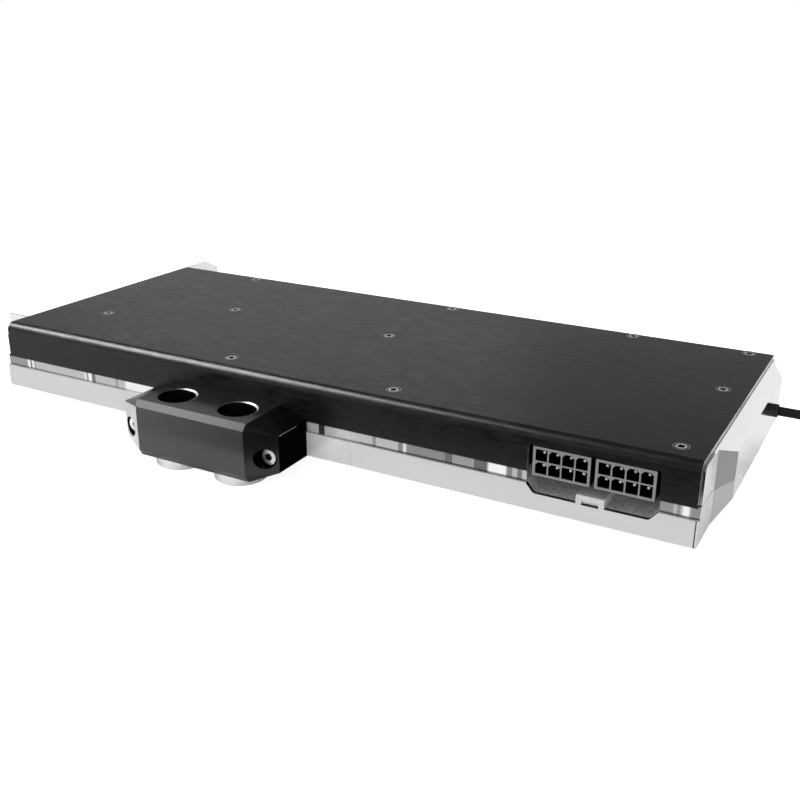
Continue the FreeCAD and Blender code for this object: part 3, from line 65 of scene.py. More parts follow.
def math_node(tree, operation, first, second=0.0, clamp=False):
    """The result of an operation on two numbers or sockets."""
    made = tree.nodes.new("ShaderNodeMath")
    made.operation = operation
    made.use_clamp = clamp
    for socket, value in zip(made.inputs, (first, second)):
        if isinstance(value, (int, float)):
            socket.default_value = value
        else:
            tree.links.new(value, socket)
    return made.outputs[0]


def times(tree, first, second, clamp=False):
    return math_node(tree, "MULTIPLY", first, second, clamp)


def plus(tree, first, second):
    return math_node(tree, "ADD", first, second)


def minus(tree, first, second, clamp=False):
    return math_node(tree, "SUBTRACT", first, second, clamp)


def without_sign(tree, value):
    return math_node(tree, "ABSOLUTE", value)


def axes(tree, vector):
    """The X, Y and Z of a vector."""
    made = add(tree, "ShaderNodeSeparateXYZ")
    tree.links.new(vector, made.inputs[0])
    return made.outputs


def place_on(tree):
    return axes(tree, add(tree, "ShaderNodeTexCoord").outputs["Object"])


def normal_of(tree):
    return axes(tree, add(tree, "ShaderNodeNewGeometry").outputs["Normal"])


def mixed(tree, share, first, second):
    """Colour between two colours, by a share from 0 to 1."""
    made = tree.nodes.new("ShaderNodeMix")
    made.data_type = "RGBA"
    tree.links.new(share, made.inputs["Factor"])
    for name, value in (("A", first), ("B", second)):
        socket = [item for item in made.inputs if item.name == name and item.type == "RGBA"][0]
        if isinstance(value, tuple):
            socket.default_value = value
        else:
            tree.links.new(value, socket)
    return [item for item in made.outputs if item.type == "RGBA"][0]


def grey(level):
    return (level, level, level, 1.0)


def effect(name, inputs, outputs):
    """A shader node group with named number inputs and outputs."""
    tree = bpy.data.node_groups.new(name, "ShaderNodeTree")
    for socket, value in inputs.items():
        made = tree.interface.new_socket(name=socket, in_out="INPUT", socket_type="NodeSocketFloat")
        made.default_value = value
    for socket in outputs:
        tree.interface.new_socket(name=socket, in_out="OUTPUT", socket_type="NodeSocketFloat")
    return tree, tree.nodes.new("NodeGroupInput").outputs, tree.nodes.new("NodeGroupOutput").inputs


def use(tree, group, **inputs):
    """A shader node group put to use; a keyword sets the input of that name."""
    made = tree.nodes.new("ShaderNodeGroup")
    made.node_tree = group
    for name, value in inputs.items():
        made.inputs[name].default_value = value
    return made.outputs


def brushing():
    """Fine lines along X: Lines per metre across the grain, and Along per metre along it."""
    tree, given, out = effect("brushed_lines", {"Lines": 900.0, "Along": 14.0}, ("Shade", "Height"))
    where = place_on(tree)
    stretched = add(tree, "ShaderNodeCombineXYZ")
    for axis, density in (("X", "Along"), ("Y", "Lines"), ("Z", "Lines")):
        tree.links.new(times(tree, where[axis], given[density]), stretched.inputs[axis])
    lines = add(tree, "ShaderNodeTexNoise", Scale=1.0, Detail=3.0, Roughness=0.6)
    tree.links.new(stretched.outputs[0], lines.inputs["Vector"])
    tree.links.new(lines.outputs["Fac"], out["Shade"])
    tree.links.new(lines.outputs["Fac"], out["Height"])
    return tree


def blotches():
    """Slow uneven tone, as handling and the light grain of a finish give it."""
    tree, given, out = effect("uneven_tone", {"Size": 30.0}, ("Tone",))
    cloud = add(tree, "ShaderNodeTexNoise", Detail=4.0, Roughness=0.55)
    tree.links.new(add(tree, "ShaderNodeTexCoord").outputs["Object"], cloud.inputs["Vector"])
    tree.links.new(given["Size"], cloud.inputs["Scale"])
    tree.links.new(cloud.outputs["Fac"], out["Tone"])
    return tree


def cut_ends():
    """How far a surface faces along X: the cut ends of the sheet."""
    tree, given, out = effect("end_grain", {"Sharpness": 6.0}, ("Mask",))
    past_slant = minus(tree, without_sign(tree, normal_of(tree)["X"]), 0.85)
    tree.links.new(times(tree, past_slant, given["Sharpness"], clamp=True), out["Mask"])
    return tree


brushed_lines = brushing()
uneven_tone = blotches()
end_grain = cut_ends()


def ramp(tree, value, start, end, low, high):
    """A value carried from start..end to low..high, and held outside it."""
    made = add(tree, "ShaderNodeMapRange", From_Min=start, From_Max=end, To_Min=low, To_Max=high)
    tree.links.new(value, made.inputs["Value"])
    return made.outputs["Result"]


def spread(tree, value, low, high):
    """A 0 to 1 value carried to low..high."""
    return ramp(tree, value, 0.0, 1.0, low, high)


def bumped(tree, height, depth):
    made = add(tree, "ShaderNodeBump", Strength=1.0, Distance=depth)
    tree.links.new(height, made.inputs["Height"])
    return made.outputs["Normal"]


def anodised_sheet():
    made, tree, shader = material("anodised_sheet")
    lines = use(tree, brushed_lines, Lines=760.0, Along=150.0)
    tone = use(tree, uneven_tone, Size=26.0)["Tone"]
    ends = use(tree, end_grain)["Mask"]
    black = mixed(tree, lines["Shade"], grey(0.0), grey(0.008))
    tree.links.new(mixed(tree, ends, black, grey(0.85)), shader.inputs["Base Color"])
    rough = plus(tree, spread(tree, lines["Shade"], 0.16, 0.50), spread(tree, tone, -0.03, 0.03))
    tree.links.new(rough, shader.inputs["Roughness"])
    tree.links.new(ends, shader.inputs["Metallic"])
    shader.inputs["Specular IOR Level"].default_value = 0.31
    tree.links.new(bumped(tree, lines["Height"], 0.045 * MM), shader.inputs["Normal"])
    return made


def dress(name, finish):
    """Gives a CAD node that finish."""
    slots = nodes[name].data.materials
    slots.clear()
    slots.append(finish)


dress("backplate", anodised_sheet())


# Screws: plain steel, countersunk, with turned heads and a six-lobed driver recess. Each
# head sits in the sheet's countersink, and the frame or a standoff takes its thread.

def turned_steel(name, tone, metal=1.0):
    made, tree, shader = material(name)
    cloud = use(tree, uneven_tone, Size=900.0)["Tone"]
    tree.links.new(mixed(tree, cloud, grey(tone * 0.8), grey(tone)), shader.inputs["Base Color"])
    shader.inputs["Metallic"].default_value = metal
    tree.links.new(spread(tree, cloud, 0.2, 0.4), shader.inputs["Roughness"])
    tree.links.new(bumped(tree, cloud, 0.01 * MM), shader.inputs["Normal"])
    return made


# Painted shade: the groove and the driver recess of the steel heads are near black.
def recess_shade():
    made, tree, shader = material("recess_shade")
    cloud = use(tree, uneven_tone, Size=900.0)["Tone"]
    tree.links.new(mixed(tree, cloud, grey(0.0), grey(0.006)), shader.inputs["Base Color"])
    shader.inputs["Specular IOR Level"].default_value = 0.05
    tree.links.new(spread(tree, cloud, 0.5, 0.7), shader.inputs["Roughness"])
    return made


def parts_of(thing):
    """The separate pieces of a mesh, each as its points' box, from left to right."""
    mesh = bmesh.new()
    mesh.from_mesh(thing.data)
    bmesh.ops.remove_doubles(mesh, verts=mesh.verts, dist=0.001 * MM)
    left = set(mesh.verts)
    boxes = []
    while left:
        todo, found = [left.pop()], []
        while todo:
            point = todo.pop()
            found.append(thing.matrix_world @ point.co)
            for edge in point.link_edges:
                other = edge.other_vert(point)
                if other in left:
                    left.remove(other)
                    todo.append(other)
        boxes.append((Vector([min(p[i] for p in found) for i in range(3)]),
                      Vector([max(p[i] for p in found) for i in range(3)])))
    mesh.free()
    return sorted(boxes, key=lambda box: tuple(box[0]))


def ring_between(mesh, lower, upper, slot):
    """Faces between two rings of points, in that material slot."""
    for i in range(len(lower)):
        j = (i + 1) % len(lower)
        mesh.faces.new((lower[i], lower[j], upper[j], upper[i])).material_index = slot


def placed(name, data):
    """An object with that data, in the scene."""
    made = bpy.data.objects.new(name, data)
    bpy.context.scene.collection.objects.link(made)
    return made


def piece_from(name, mesh):
    """An object from a finished bmesh, which is freed."""
    data = bpy.data.meshes.new(name)
    mesh.to_mesh(data)
    mesh.free()
    return placed(name, data)


# The second slot is painted shade.
STEEL, SHADED, BARE = 0, 1, 2     # material slots of the screw heads
HEAD_SIDES = 36
# (share of the head's radius, depth in mm, slot) from the rim inward, with a turned groove in painted shade
HEAD_RINGS = ((1.0, 0.0, STEEL), (0.93, 0.0, STEEL), (0.86, 0.22, SHADED), (0.77, 0.2, SHADED),
              (0.72, 0.03, SHADED), (0.56, 0.0, STEEL))
# (share of the lobes' radius, more added to it, depth in mm, slot) down the recess, whose walls and floor
# are painted shade
RECESS_RINGS = ((1.0, 0.04, 0.02, STEEL), (1.0, 0.0, 0.12, SHADED), (0.9, 0.0, 0.9, SHADED))
# (share of the head's radius, depth in mm) of the sheet's bare countersink round each head
CUT_RINGS = ((1.245, 0.015), (1.15, 0.17))
CONE_DEPTH = 0.48               # of the head's radius
SHANK_RADIUS = 0.52             # of the head's radius
SHANK_LENGTH = 10.0 * MM


def circle(mesh, x, y, z, radii):
    """A ring of points round x, y, with a radius for each."""
    step = 2 * math.pi / len(radii)
    return [mesh.verts.new((x + radius * math.cos(i * step), y + radius * math.sin(i * step), z))
            for i, radius in enumerate(radii)]


def screw_heads(name, places, head, top):
    """Countersunk heads: outer rim, turned groove, flat ring, star recess and shank."""
    lobes = [0.42 + 0.07 * math.cos(6 * 2 * math.pi * i / HEAD_SIDES) for i in range(HEAD_SIDES)]
    rings = [([share * head] * HEAD_SIDES, depth, slot) for share, depth, slot in HEAD_RINGS]
    rings += [([(share * lobe + more) * head for lobe in lobes], depth, slot)
              for share, more, depth, slot in RECESS_RINGS]
    mesh = bmesh.new()
    for x, y in places:
        loops = [circle(mesh, x, y, top - depth * MM, radii) for radii, depth, slot in rings]
        for outer, inner, ring in zip(loops, loops[1:], rings[1:]):
            ring_between(mesh, outer, inner, ring[2])
        mesh.faces.new(loops[-1]).material_index = SHADED
        rim, inside = [circle(mesh, x, y, top - depth * MM, [share * head] * HEAD_SIDES)
                       for share, depth in CUT_RINGS]
        ring_between(mesh, inside, rim, BARE)
        shank = [SHANK_RADIUS * head] * HEAD_SIDES
        cone = circle(mesh, x, y, top - CONE_DEPTH * head, shank)
        ring_between(mesh, cone, loops[0], STEEL)
        end = circle(mesh, x, y, top - SHANK_LENGTH, shank)
        ring_between(mesh, end, cone, STEEL)
        mesh.faces.new(list(reversed(end)))
    bmesh.ops.recalc_face_normals(mesh, faces=mesh.faces)
    return piece_from(name, mesh)


screw_boxes = parts_of(nodes["backplate_screws"])
head_radius = (screw_boxes[0][1].x - screw_boxes[0][0].x) / 2
screw_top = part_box("backplate_screws")[1].z
screw_places = [((low.x + high.x) / 2, (low.y + high.y) / 2) for low, high in screw_boxes]
heads = screw_heads("screw_heads", screw_places, head_radius, screw_top)
for finish in (turned_steel("screw_steel", 0.62, 0.5), recess_shade(), turned_steel("cut_rim", 0.6)):
    heads.data.materials.append(finish)
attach(heads, "root")
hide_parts("backplate_screws")
plain_steel = turned_steel("plain_steel", 0.6)
for name in ("backplate_screws", "bracket_screws", "cover_screws", "frame_screws", "terminal_screws"):
    dress(name, plain_steel)


# Circuit board and what it carries: black laminate with gold contacts on its tab, moulded
# chips, grey pads, pressed chokes and drawn cans. Most of it is hidden inside the frame.

def moulded(name, tone, rough=0.5, grain=2500.0, depth=0.02):
    made, tree, shader = material(name)
    cloud = use(tree, uneven_tone, Size=grain)["Tone"]
    low = tuple(0.8 * c for c in tone) + (1.0,)
    high = tuple(1.15 * c for c in tone) + (1.0,)
    tree.links.new(mixed(tree, cloud, low, high), shader.inputs["Base Color"])
    tree.links.new(spread(tree, cloud, rough - 0.06, rough + 0.06), shader.inputs["Roughness"])
    tree.links.new(bumped(tree, cloud, depth * MM), shader.inputs["Normal"])
    return made


def larger(tree, first, second):
    return math_node(tree, "MAXIMUM", first, second)


def above(tree, value, limit):
    """1 where the value is above the limit, else 0."""
    return math_node(tree, "GREATER_THAN", value, limit)


def below(tree, value, limit):
    """1 where the value is below the limit, else 0."""
    return math_node(tree, "LESS_THAN", value, limit)


def between(tree, value, low, high):
    return times(tree, above(tree, value, low), below(tree, value, high))


CONTACT_PITCH = 1.0 * MM
CONTACT_SHARE = 0.7             # of the pitch


def board_finish():
    made, tree, shader = material("board_laminate")
    where = place_on(tree)
    tab_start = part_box("backplate")[1].y + 2.0 * MM
    tab_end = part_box("circuit_board")[1].y - 0.8 * MM
    step = math_node(tree, "FRACT", math_node(tree, "DIVIDE", where["X"], CONTACT_PITCH))
    finger = times(tree, between(tree, where["Y"], tab_start, tab_end), below(tree, step, CONTACT_SHARE))
    tree.links.new(mixed(tree, finger, (0.012, 0.014, 0.013, 1), (0.75, 0.5, 0.16, 1)),
                   shader.inputs["Base Color"])
    tree.links.new(finger, shader.inputs["Metallic"])
    cloud = use(tree, uneven_tone, Size=400.0)["Tone"]
    tree.links.new(spread(tree, cloud, 0.3, 0.42), shader.inputs["Roughness"])
    return made


dress("circuit_board", board_finish())
dress("board_spacers", moulded("spacer_brass", (0.72, 0.55, 0.25), 0.3))
pad = moulded("thermal_pad", (0.5, 0.53, 0.57), 0.8)
for name in ("rear_pad", "memory_pads", "power_stage_pads"):
    dress(name, pad)
dress("processor_package", moulded("package_laminate", (0.05, 0.14, 0.08), 0.4))
dress("processor_die", moulded("silicon", (0.16, 0.17, 0.2), 0.12, depth=0.001))
compound = moulded("chip_compound", (0.02, 0.02, 0.022), 0.55)
for name in ("memory_chips", "power_stages"):
    dress(name, compound)
dress("chokes", moulded("pressed_choke", (0.12, 0.12, 0.12), 0.6))
dress("capacitors", turned_steel("drawn_can", 0.75))


# Power sockets: two black eight-way housings of moulded nylon, soldered to the board's
# front edge. Tinned pins stand deep in the cells, and the cells' front rims are painted pale
# grey, as painted light on the black nylon.

def socket_finish():
    made, tree, shader = material("socket_nylon")
    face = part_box("power_socket_1")[0].y
    # Painted light: faces at the housings' front plane are pale grey, the rest black.
    rim = times(tree, below(tree, place_on(tree)["Y"], face + 0.1 * MM),
                below(tree, normal_of(tree)["Y"], -0.9))
    cloud = use(tree, uneven_tone, Size=1800.0)["Tone"]
    tree.links.new(mixed(tree, rim, grey(0.0), grey(0.22)), shader.inputs["Base Color"])
    tree.links.new(spread(tree, cloud, 0.4, 0.55), shader.inputs["Roughness"])
    shader.inputs["Specular IOR Level"].default_value = 0.2
    tree.links.new(bumped(tree, cloud, 0.03 * MM), shader.inputs["Normal"])
    return made


nylon = socket_finish()
dress("power_socket_1", nylon)
dress("power_socket_2", nylon)
dress("power_pins", turned_steel("tinned_pin", 1.0, 0.55))


# Display sockets and slot bracket: folded steel shells stand on the board behind a nickel
# plated steel plate. Two small screws hold the plate to the frame.

shell = turned_steel("socket_shell", 0.66)
for name in ("display_socket_1", "display_socket_2", "display_socket_3"):
    dress(name, shell)


def plated_sheet():
    made, tree, shader = material("plated_sheet")
    lines = use(tree, brushed_lines, Lines=500.0, Along=500.0)
    tree.links.new(mixed(tree, lines["Shade"], grey(0.86), grey(0.97)), shader.inputs["Base Color"])
    shader.inputs["Metallic"].default_value = 1.0
    tree.links.new(spread(tree, lines["Shade"], 0.2, 0.32), shader.inputs["Roughness"])
    tree.links.new(bumped(tree, lines["Height"], 0.004 * MM), shader.inputs["Normal"])
    return made


dress("slot_bracket", plated_sheet())


# Frame: milled aluminium between backplate and cold plate, polished where it shows. On the
# real one upright edges shine as light and dark bars. Here its front is one flat strip: the bars
# are painted highlights and painted reflections, the dark band under the flange is painted shade,
# and the swept seam is a line in the finish. End faces are painted lighter and the slanted face
# darker, as painted light and shade.

# (from, to, tone) along X in mm, left to right, of painted highlights and painted reflections.
# Elsewhere the front has the plain tone.
PAINTED_BARS = (
    (-134.0, -124.0, 0.33), (-123.4, -122.4, 0.98), (-122.1, -121.5, 0.2), (-121.2, -120.1, 0.9),
    (-119.9, -119.3, 0.3), (-93.0, -91.9, 0.8), (-91.6, -91.0, 0.3), (-90.7, -89.3, 1.0),
    (-88.9, -87.2, 0.2), (-77.0, -75.6, 0.35), (-72.0, -55.0, 0.92),
    (8.0, 10.0, 0.3), (14.6, 17.0, 0.04), (35.6, 36.8, 0.28), (45.2, 46.8, 0.25), (47.2, 47.9, 0.85),
    (48.3, 62.0, 0.28), (62.0, 64.6, 0.17), (64.6, 71.8, 0.36), (72.0, 76.6, 0.16), (77.0, 82.9, 1.0),
    (83.2, 85.0, 0.26), (86.6, 88.2, 0.22), (130.0, 134.3, 0.32), (135.2, 136.2, 0.32),
    (136.9, 138.7, 1.0), (139.2, 143.0, 0.3),
)
PLAIN_BAR = 0.54
NARROW_BAR = 3.0                # mm: a bar below this width has sharper sides
# (y, z) of the swept seam in mm, from the front corner to the back end of the slanted face
SEAM = ((-56.3, 18.0), (-53.4, 19.6), (-48.0, 20.0), (-43.8, 19.8), (-38.6, 18.8), (-33.0, 18.6),
        (-27.3, 18.0))
# Painted shade: the slanted face is darker than the front.
SHADED_SLANT = grey(0.46)        # slanted face below the seam, on frame and cold plate


def seam_curve():
    """On the right end the seam sweeps up: what lies above it, and the thin dark line."""
    tree, given, out = effect("swept_seam", {"Width": 0.2 * MM}, ("Above", "Line"))
    where = place_on(tree)
    height = SEAM[0][1] * MM
    for (y0, z0), (y1, z1) in zip(SEAM, SEAM[1:]):
        rise = ramp(tree, where["Y"], y0 * MM, y1 * MM, 0.0, (z1 - z0) * MM)
        height = plus(tree, height, rise)
    over = minus(tree, where["Z"], height)
    tree.links.new(above(tree, over, 0.0), out["Above"])
    at_end = times(tree, above(tree, where["X"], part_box("backplate")[1].x + 0.3 * MM),
                   below(tree, where["Y"], SEAM[-1][0] * MM))
    near = below(tree, without_sign(tree, over), given["Width"])
    tree.links.new(times(tree, at_end, near), out["Line"])
    return tree


swept_seam = seam_curve()


def painted_bars(tree, along):
    """The tone of the frame's front at that X, from the table of bars, with soft sides:
    painted highlights and painted reflections.
    """
    tone = PLAIN_BAR
    for low, high, level in PAINTED_BARS:
        soft = (0.25 if high - low < NARROW_BAR else 0.6) * MM
        away = without_sign(tree, minus(tree, along, (low + high) / 2 * MM))
        inside = minus(tree, (high - low) / 2 * MM + soft / 2, away)
        share = math_node(tree, "DIVIDE", inside, soft, clamp=True)
        tone = plus(tree, tone, times(tree, share, level - PLAIN_BAR))
    return tone


def on_slant(tree, normal):
    """Upright faces that turn at least a little to the front."""
    return times(tree, below(tree, normal["Y"], -0.15), below(tree, without_sign(tree, normal["Z"]), 0.2))


def polished_frame():
    made, tree, shader = material("polished_frame")
    where, normal = place_on(tree), normal_of(tree)
    strip_low, strip_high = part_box("side_frame")[0].z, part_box("backplate")[0].z
    sheet_end, block_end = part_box("backplate")[1].x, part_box("terminal_block")[1].x
    faces_front = below(tree, normal["Y"], -0.9)
    faces_right = above(tree, normal["X"], 0.2)

    # Painted shade: the strip's top goes near black under the flange's edge. A dark line marks the seam at
    # its foot.
    into_gap = minus(tree, where["Z"], strip_high - 0.75 * MM)
    under_flange = times(tree, math_node(tree, "DIVIDE", into_gap, 0.3 * MM, clamp=True),
                         below(tree, where["X"], sheet_end))
    seam = below(tree, where["Z"], strip_low + 0.12 * MM)
    shade = larger(tree, times(tree, under_flange, 0.97), times(tree, seam, 0.75))
    front = times(tree, painted_bars(tree, where["X"]), minus(tree, 1.0, shade))
    barred = add(tree, "ShaderNodeCombineColor")
    for channel in ("Red", "Green", "Blue"):
        tree.links.new(front, barred.inputs[channel])

    sweep = use(tree, swept_seam)
    # Painted light and shade by face: end faces white, other faces 0.6, and the slanted face darker, in two
    # tones that meet at the swept seam.
    slanted = mixed(tree, sweep["Above"], SHADED_SLANT, grey(0.29))
    plain = mixed(tree, on_slant(tree, normal), mixed(tree, faces_right, grey(0.6), grey(1.0)), slanted)
    plain = mixed(tree, sweep["Line"], plain, grey(0.3))
    tree.links.new(mixed(tree, faces_front, plain, barred.outputs[0]), shader.inputs["Base Color"])

    # The front beside the block is mostly matt, darker there as a painted reflection of the black block.
    right_of_block = ramp(tree, where["X"], block_end + 16.0 * MM, block_end + 22.0 * MM, 0.25, 1.0)
    left_of_block = below(tree, where["X"], block_end - 5.0 * MM)
    off_front = minus(tree, 1.0, faces_front)
    metal = larger(tree, right_of_block, larger(tree, left_of_block, off_front))
    tree.links.new(metal, shader.inputs["Metallic"])
    cloud = use(tree, uneven_tone, Size=60.0)["Tone"]
    tree.links.new(spread(tree, cloud, 0.1, 0.2), shader.inputs["Roughness"])
    return made


dress("side_frame", polished_frame())


# Cold plate: nickel plated copper, fly cut on its faces and screwed to the frame. The
# pockets under the power sockets keep the mill's marks.

def nickel_plate():
    made, tree, shader = material("nickel_plate")
    where, normal = place_on(tree), normal_of(tree)
    front_face, sheet_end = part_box("backplate")[0].y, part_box("backplate")[1].x
    block_end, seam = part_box("terminal_block")[1].x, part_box("side_frame")[0].z
    sockets_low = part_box("power_socket_1")[0].x - 3.0 * MM
    sockets_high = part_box("power_socket_2")[1].x + 3.0 * MM

    faces_front = below(tree, normal["Y"], -0.9)
    in_pocket = times(tree, above(tree, normal["Z"], 0.2), below(tree, where["Z"], seam - 0.1 * MM))
    flat_top = times(tree, above(tree, normal["Z"], 0.9), minus(tree, 1.0, in_pocket))
    lip = times(tree, in_pocket, below(tree, where["Y"], front_face + 1.5 * MM))
    in_slot = times(tree, faces_front,
                    between(tree, where["Y"], front_face + 0.4 * MM, front_face + 1.2 * MM))
    from_end = without_sign(tree, minus(tree, where["X"], sheet_end + 0.1 * MM))
    end_line = times(tree, below(tree, from_end, 0.17 * MM), faces_front)
    slanted = times(tree, times(tree, on_slant(tree, normal), above(tree, normal["X"], 0.8)),
                    above(tree, where["X"], sheet_end))

    tone = use(tree, uneven_tone, Size=40.0)["Tone"]
    swirl = use(tree, uneven_tone, Size=420.0)["Tone"]
    marks = use(tree, brushed_lines, Lines=1500.0, Along=900.0)
    milled = mixed(tree, times(tree, marks["Shade"], plus(tree, swirl, 0.5)), grey(0.12), grey(0.95))
    finish = mixed(tree, tone, grey(0.66), grey(0.71))
    # Painted light and shade by face: end faces white, the slanted face darker, a dark line of painted shade
    # along each pocket's front lip, and the slot's recessed floor and the flat tops a darker grey. The
    # pocket floors keep the mill's marks.
    for share, colour in ((above(tree, normal["X"], 0.5), grey(1.0)), (slanted, SHADED_SLANT),
                          (in_pocket, mixed(tree, lip, milled, grey(0.01))), (flat_top, grey(0.5)),
                          (in_slot, grey(0.5)), (end_line, grey(0.04))):
        finish = mixed(tree, share, finish, colour)
    tree.links.new(finish, shader.inputs["Base Color"])

    # Mostly matt: the milled pocket floors, the flat tops, and the walls between the sockets so that they
    # read lighter; also the front beside the block, darker there as a painted reflection of the black block.
    walls = times(tree, between(tree, where["X"], sockets_low, sockets_high),
                  above(tree, without_sign(tree, normal["X"]), 0.4))
    right_of_block = ramp(tree, where["X"], block_end + 10.0 * MM, block_end + 18.0 * MM, 0.85, 0.0)
    beside = times(tree, times(tree, right_of_block, faces_front),
                   above(tree, where["X"], block_end - 5.0 * MM))
    matt = larger(tree, larger(tree, in_pocket, flat_top), larger(tree, walls, beside))
    tree.links.new(minus(tree, 1.0, times(tree, matt, 0.9)), shader.inputs["Metallic"])
    rough = plus(tree, spread(tree, tone, 0.16, 0.22), times(tree, in_pocket, 0.3))
    tree.links.new(rough, shader.inputs["Roughness"])
    tree.links.new(bumped(tree, marks["Height"], 0.004 * MM), shader.inputs["Normal"])
    return made


dress("cold_plate", nickel_plate())


# Cover and its seals: clear acrylic, 7.6 mm, that closes the channels from below. Ten
# screws press it on a black rubber gasket, and more rubber seals the terminal and plugs.

def clear_acrylic():
    made, tree, shader = material("clear_acrylic")
    shader.inputs["Base Color"].default_value = (0.93, 0.96, 0.97, 1)
    shader.inputs["Transmission Weight"].default_value = 1.0
    shader.inputs["IOR"].default_value = 1.49
    tone = use(tree, uneven_tone, Size=60.0)["Tone"]
    tree.links.new(spread(tree, tone, 0.02, 0.06), shader.inputs["Roughness"])
    return made


dress("cover", clear_acrylic())
rubber = moulded("seal_rubber", (0.02, 0.02, 0.02), 0.6)
for name in ("cover_gasket", "terminal_seals", "plug_seals"):
    dress(name, rubber)


# Terminal: black block with machined facets and satin faces. Two G1/4 ports are open at
# the top, and two plated plugs close the lower ones.

def machined_black():
    made, tree, shader = material("machined_black")
    lines = use(tree, brushed_lines, Lines=1500.0, Along=30.0)
    tone = use(tree, uneven_tone, Size=70.0)["Tone"]
    black = mixed(tree, lines["Shade"], grey(0.0), grey(0.004))
    rough = plus(tree, spread(tree, lines["Shade"], 0.16, 0.24), spread(tree, tone, -0.02, 0.02))
    tree.links.new(rough, shader.inputs["Roughness"])
    shader.inputs["Specular IOR Level"].default_value = 0.0
    shader.inputs["Coat IOR"].default_value = 1.8
    shader.inputs["Coat Roughness"].default_value = 0.2
    # Painted shade by face: the coat, and with it the sheen, is left off faces that turn right and is
    # thinner on faces that turn up.
    normal = normal_of(tree)
    not_right = minus(tree, 1.0, larger(tree, normal["X"], 0.0), clamp=True)
    upward = times(tree, larger(tree, normal["Z"], 0.0), 0.35)
    tree.links.new(minus(tree, not_right, upward, clamp=True), shader.inputs["Coat Weight"])
    # Painted highlight: facets that turn left and not up are grey metal instead of black.
    lit_left_facet = times(tree, below(tree, normal["X"], -0.4), below(tree, normal["Z"], 0.3))
    tree.links.new(lit_left_facet, shader.inputs["Metallic"])
    tree.links.new(mixed(tree, lit_left_facet, black, grey(0.5)), shader.inputs["Base Color"])
    tree.links.new(bumped(tree, lines["Height"], 0.003 * MM), shader.inputs["Normal"])
    return made


dress("terminal_block", machined_black())


# (inward, down) of each ring of points across an edge, as shares of the edge's width there
EDGE_RINGS = ((0.0, -0.02), (0.35, 0.06), (0.75, 0.4), (1.0, 0.95))
EDGE_SIDES = 72
LEAST_WIDTH = 0.08              # of the widest


def port_mouth(name, centre, top, radius, widest, width, whole):
    """Turned edge in a port in bright metal: a real edge, made widest at one angle as a painted
    highlight. A thread is built at that angle alone, as a painted glint.
    """
    angles = [2 * math.pi * i / EDGE_SIDES for i in range(EDGE_SIDES)]
    nearness = [math.cos(angle - math.radians(widest)) for angle in angles]
    falloff = 1.2 if whole else 3.0
    widths = [(LEAST_WIDTH + (1.0 - LEAST_WIDTH) * max(0.0, near) ** falloff) * width for near in nearness]
    outside = radius + 0.42 * MM
    mesh = bmesh.new()
    loops = [[mesh.verts.new((centre.x + (outside - inward * across) * math.cos(angle),
                              centre.y + (outside - inward * across) * math.sin(angle), top - drop * across))
              for angle, across in zip(angles, widths)] for inward, drop in EDGE_RINGS]
    for upper, lower in zip(loops, loops[1:]):
        for i, near in enumerate(nearness):
            j = (i + 1) % EDGE_SIDES
            if whole or near > 0.75:
                mesh.faces.new((upper[i], upper[j], lower[j], lower[i]))
    bmesh.ops.delete(mesh, geom=[v for v in mesh.verts if not v.link_faces], context="VERTS")
    for face in mesh.faces:
        face.smooth = True
    return piece_from(name, mesh)


PORT_RADIUS = 6.58 * MM
PORT_OFFSET = 13.0 * MM         # from the block's middle, to each side
PORT_REACH = 10.7 * MM          # in front of the flange
# (name, mm below the top, mm inside the bore, widest angle, widest width in mm, whole ring)
PORT_EDGES = (("mouth", 0.0, 0.0, 48, 0.62, True), ("thread_glint_1", 1.3, 0.5, 8, 0.3, False),
              ("thread_glint_2", 2.5, 0.5, 2, 0.22, False))
block_low, block_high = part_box("terminal_block")
edge_glint = turned_steel("edge_glint", 0.95)
for side, offset in (("left", -PORT_OFFSET), ("right", PORT_OFFSET)):
    centre = Vector(((block_low.x + block_high.x) / 2 + offset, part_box("backplate")[0].y - PORT_REACH, 0))
    for ring, drop, reach, widest, width, whole in PORT_EDGES:
        edge = port_mouth("port_" + ring + "_" + side, centre, block_high.z - drop * MM,
                          PORT_RADIUS - reach * MM, widest, width * MM, whole)
        edge.data.materials.append(edge_glint)
        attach(edge, "root")

HIGHLIGHT_RADIUS = 0.13 * MM
HIGHLIGHT_SIDES = 12
# (share of the way along the edge, share of the radius), thin at both ends
HIGHLIGHT_STEPS = ((0.02, 0.4), (0.08, 1.0), (0.5, 1.0), (0.68, 0.35))


def ridge_highlight(name, block):
    """A painted highlight: a thin bright rod along the line where the block's right slope meets its side."""
    points = [block.matrix_world @ v.co for v in block.data.vertices]
    right = max(p.x for p in points)
    side = [p for p in points if p.x > right - 0.01 * MM]
    top = max(p.z for p in side)
    ends = sorted((p for p in side if p.z > top - 0.01 * MM), key=lambda p: p.y)
    angles = [2 * math.pi * i / HIGHLIGHT_SIDES for i in range(HIGHLIGHT_SIDES)]
    mesh = bmesh.new()
    loops = []
    for step, thick in HIGHLIGHT_STEPS:
        middle, radius = ends[0].lerp(ends[-1], step), HIGHLIGHT_RADIUS * thick
        loops.append([mesh.verts.new((middle.x + radius * math.cos(angle), middle.y,
                                      middle.z + radius * math.sin(angle))) for angle in angles])
    for lower, upper in zip(loops, loops[1:]):
        ring_between(mesh, lower, upper, 0)
    mesh.faces.new(loops[0])
    mesh.faces.new(list(reversed(loops[-1])))
    bmesh.ops.recalc_face_normals(mesh, faces=mesh.faces)
    return piece_from(name, mesh)


edge = ridge_highlight("ridge_highlight", nodes["terminal_block"])
edge.data.materials.append(edge_glint)
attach(edge, "root")


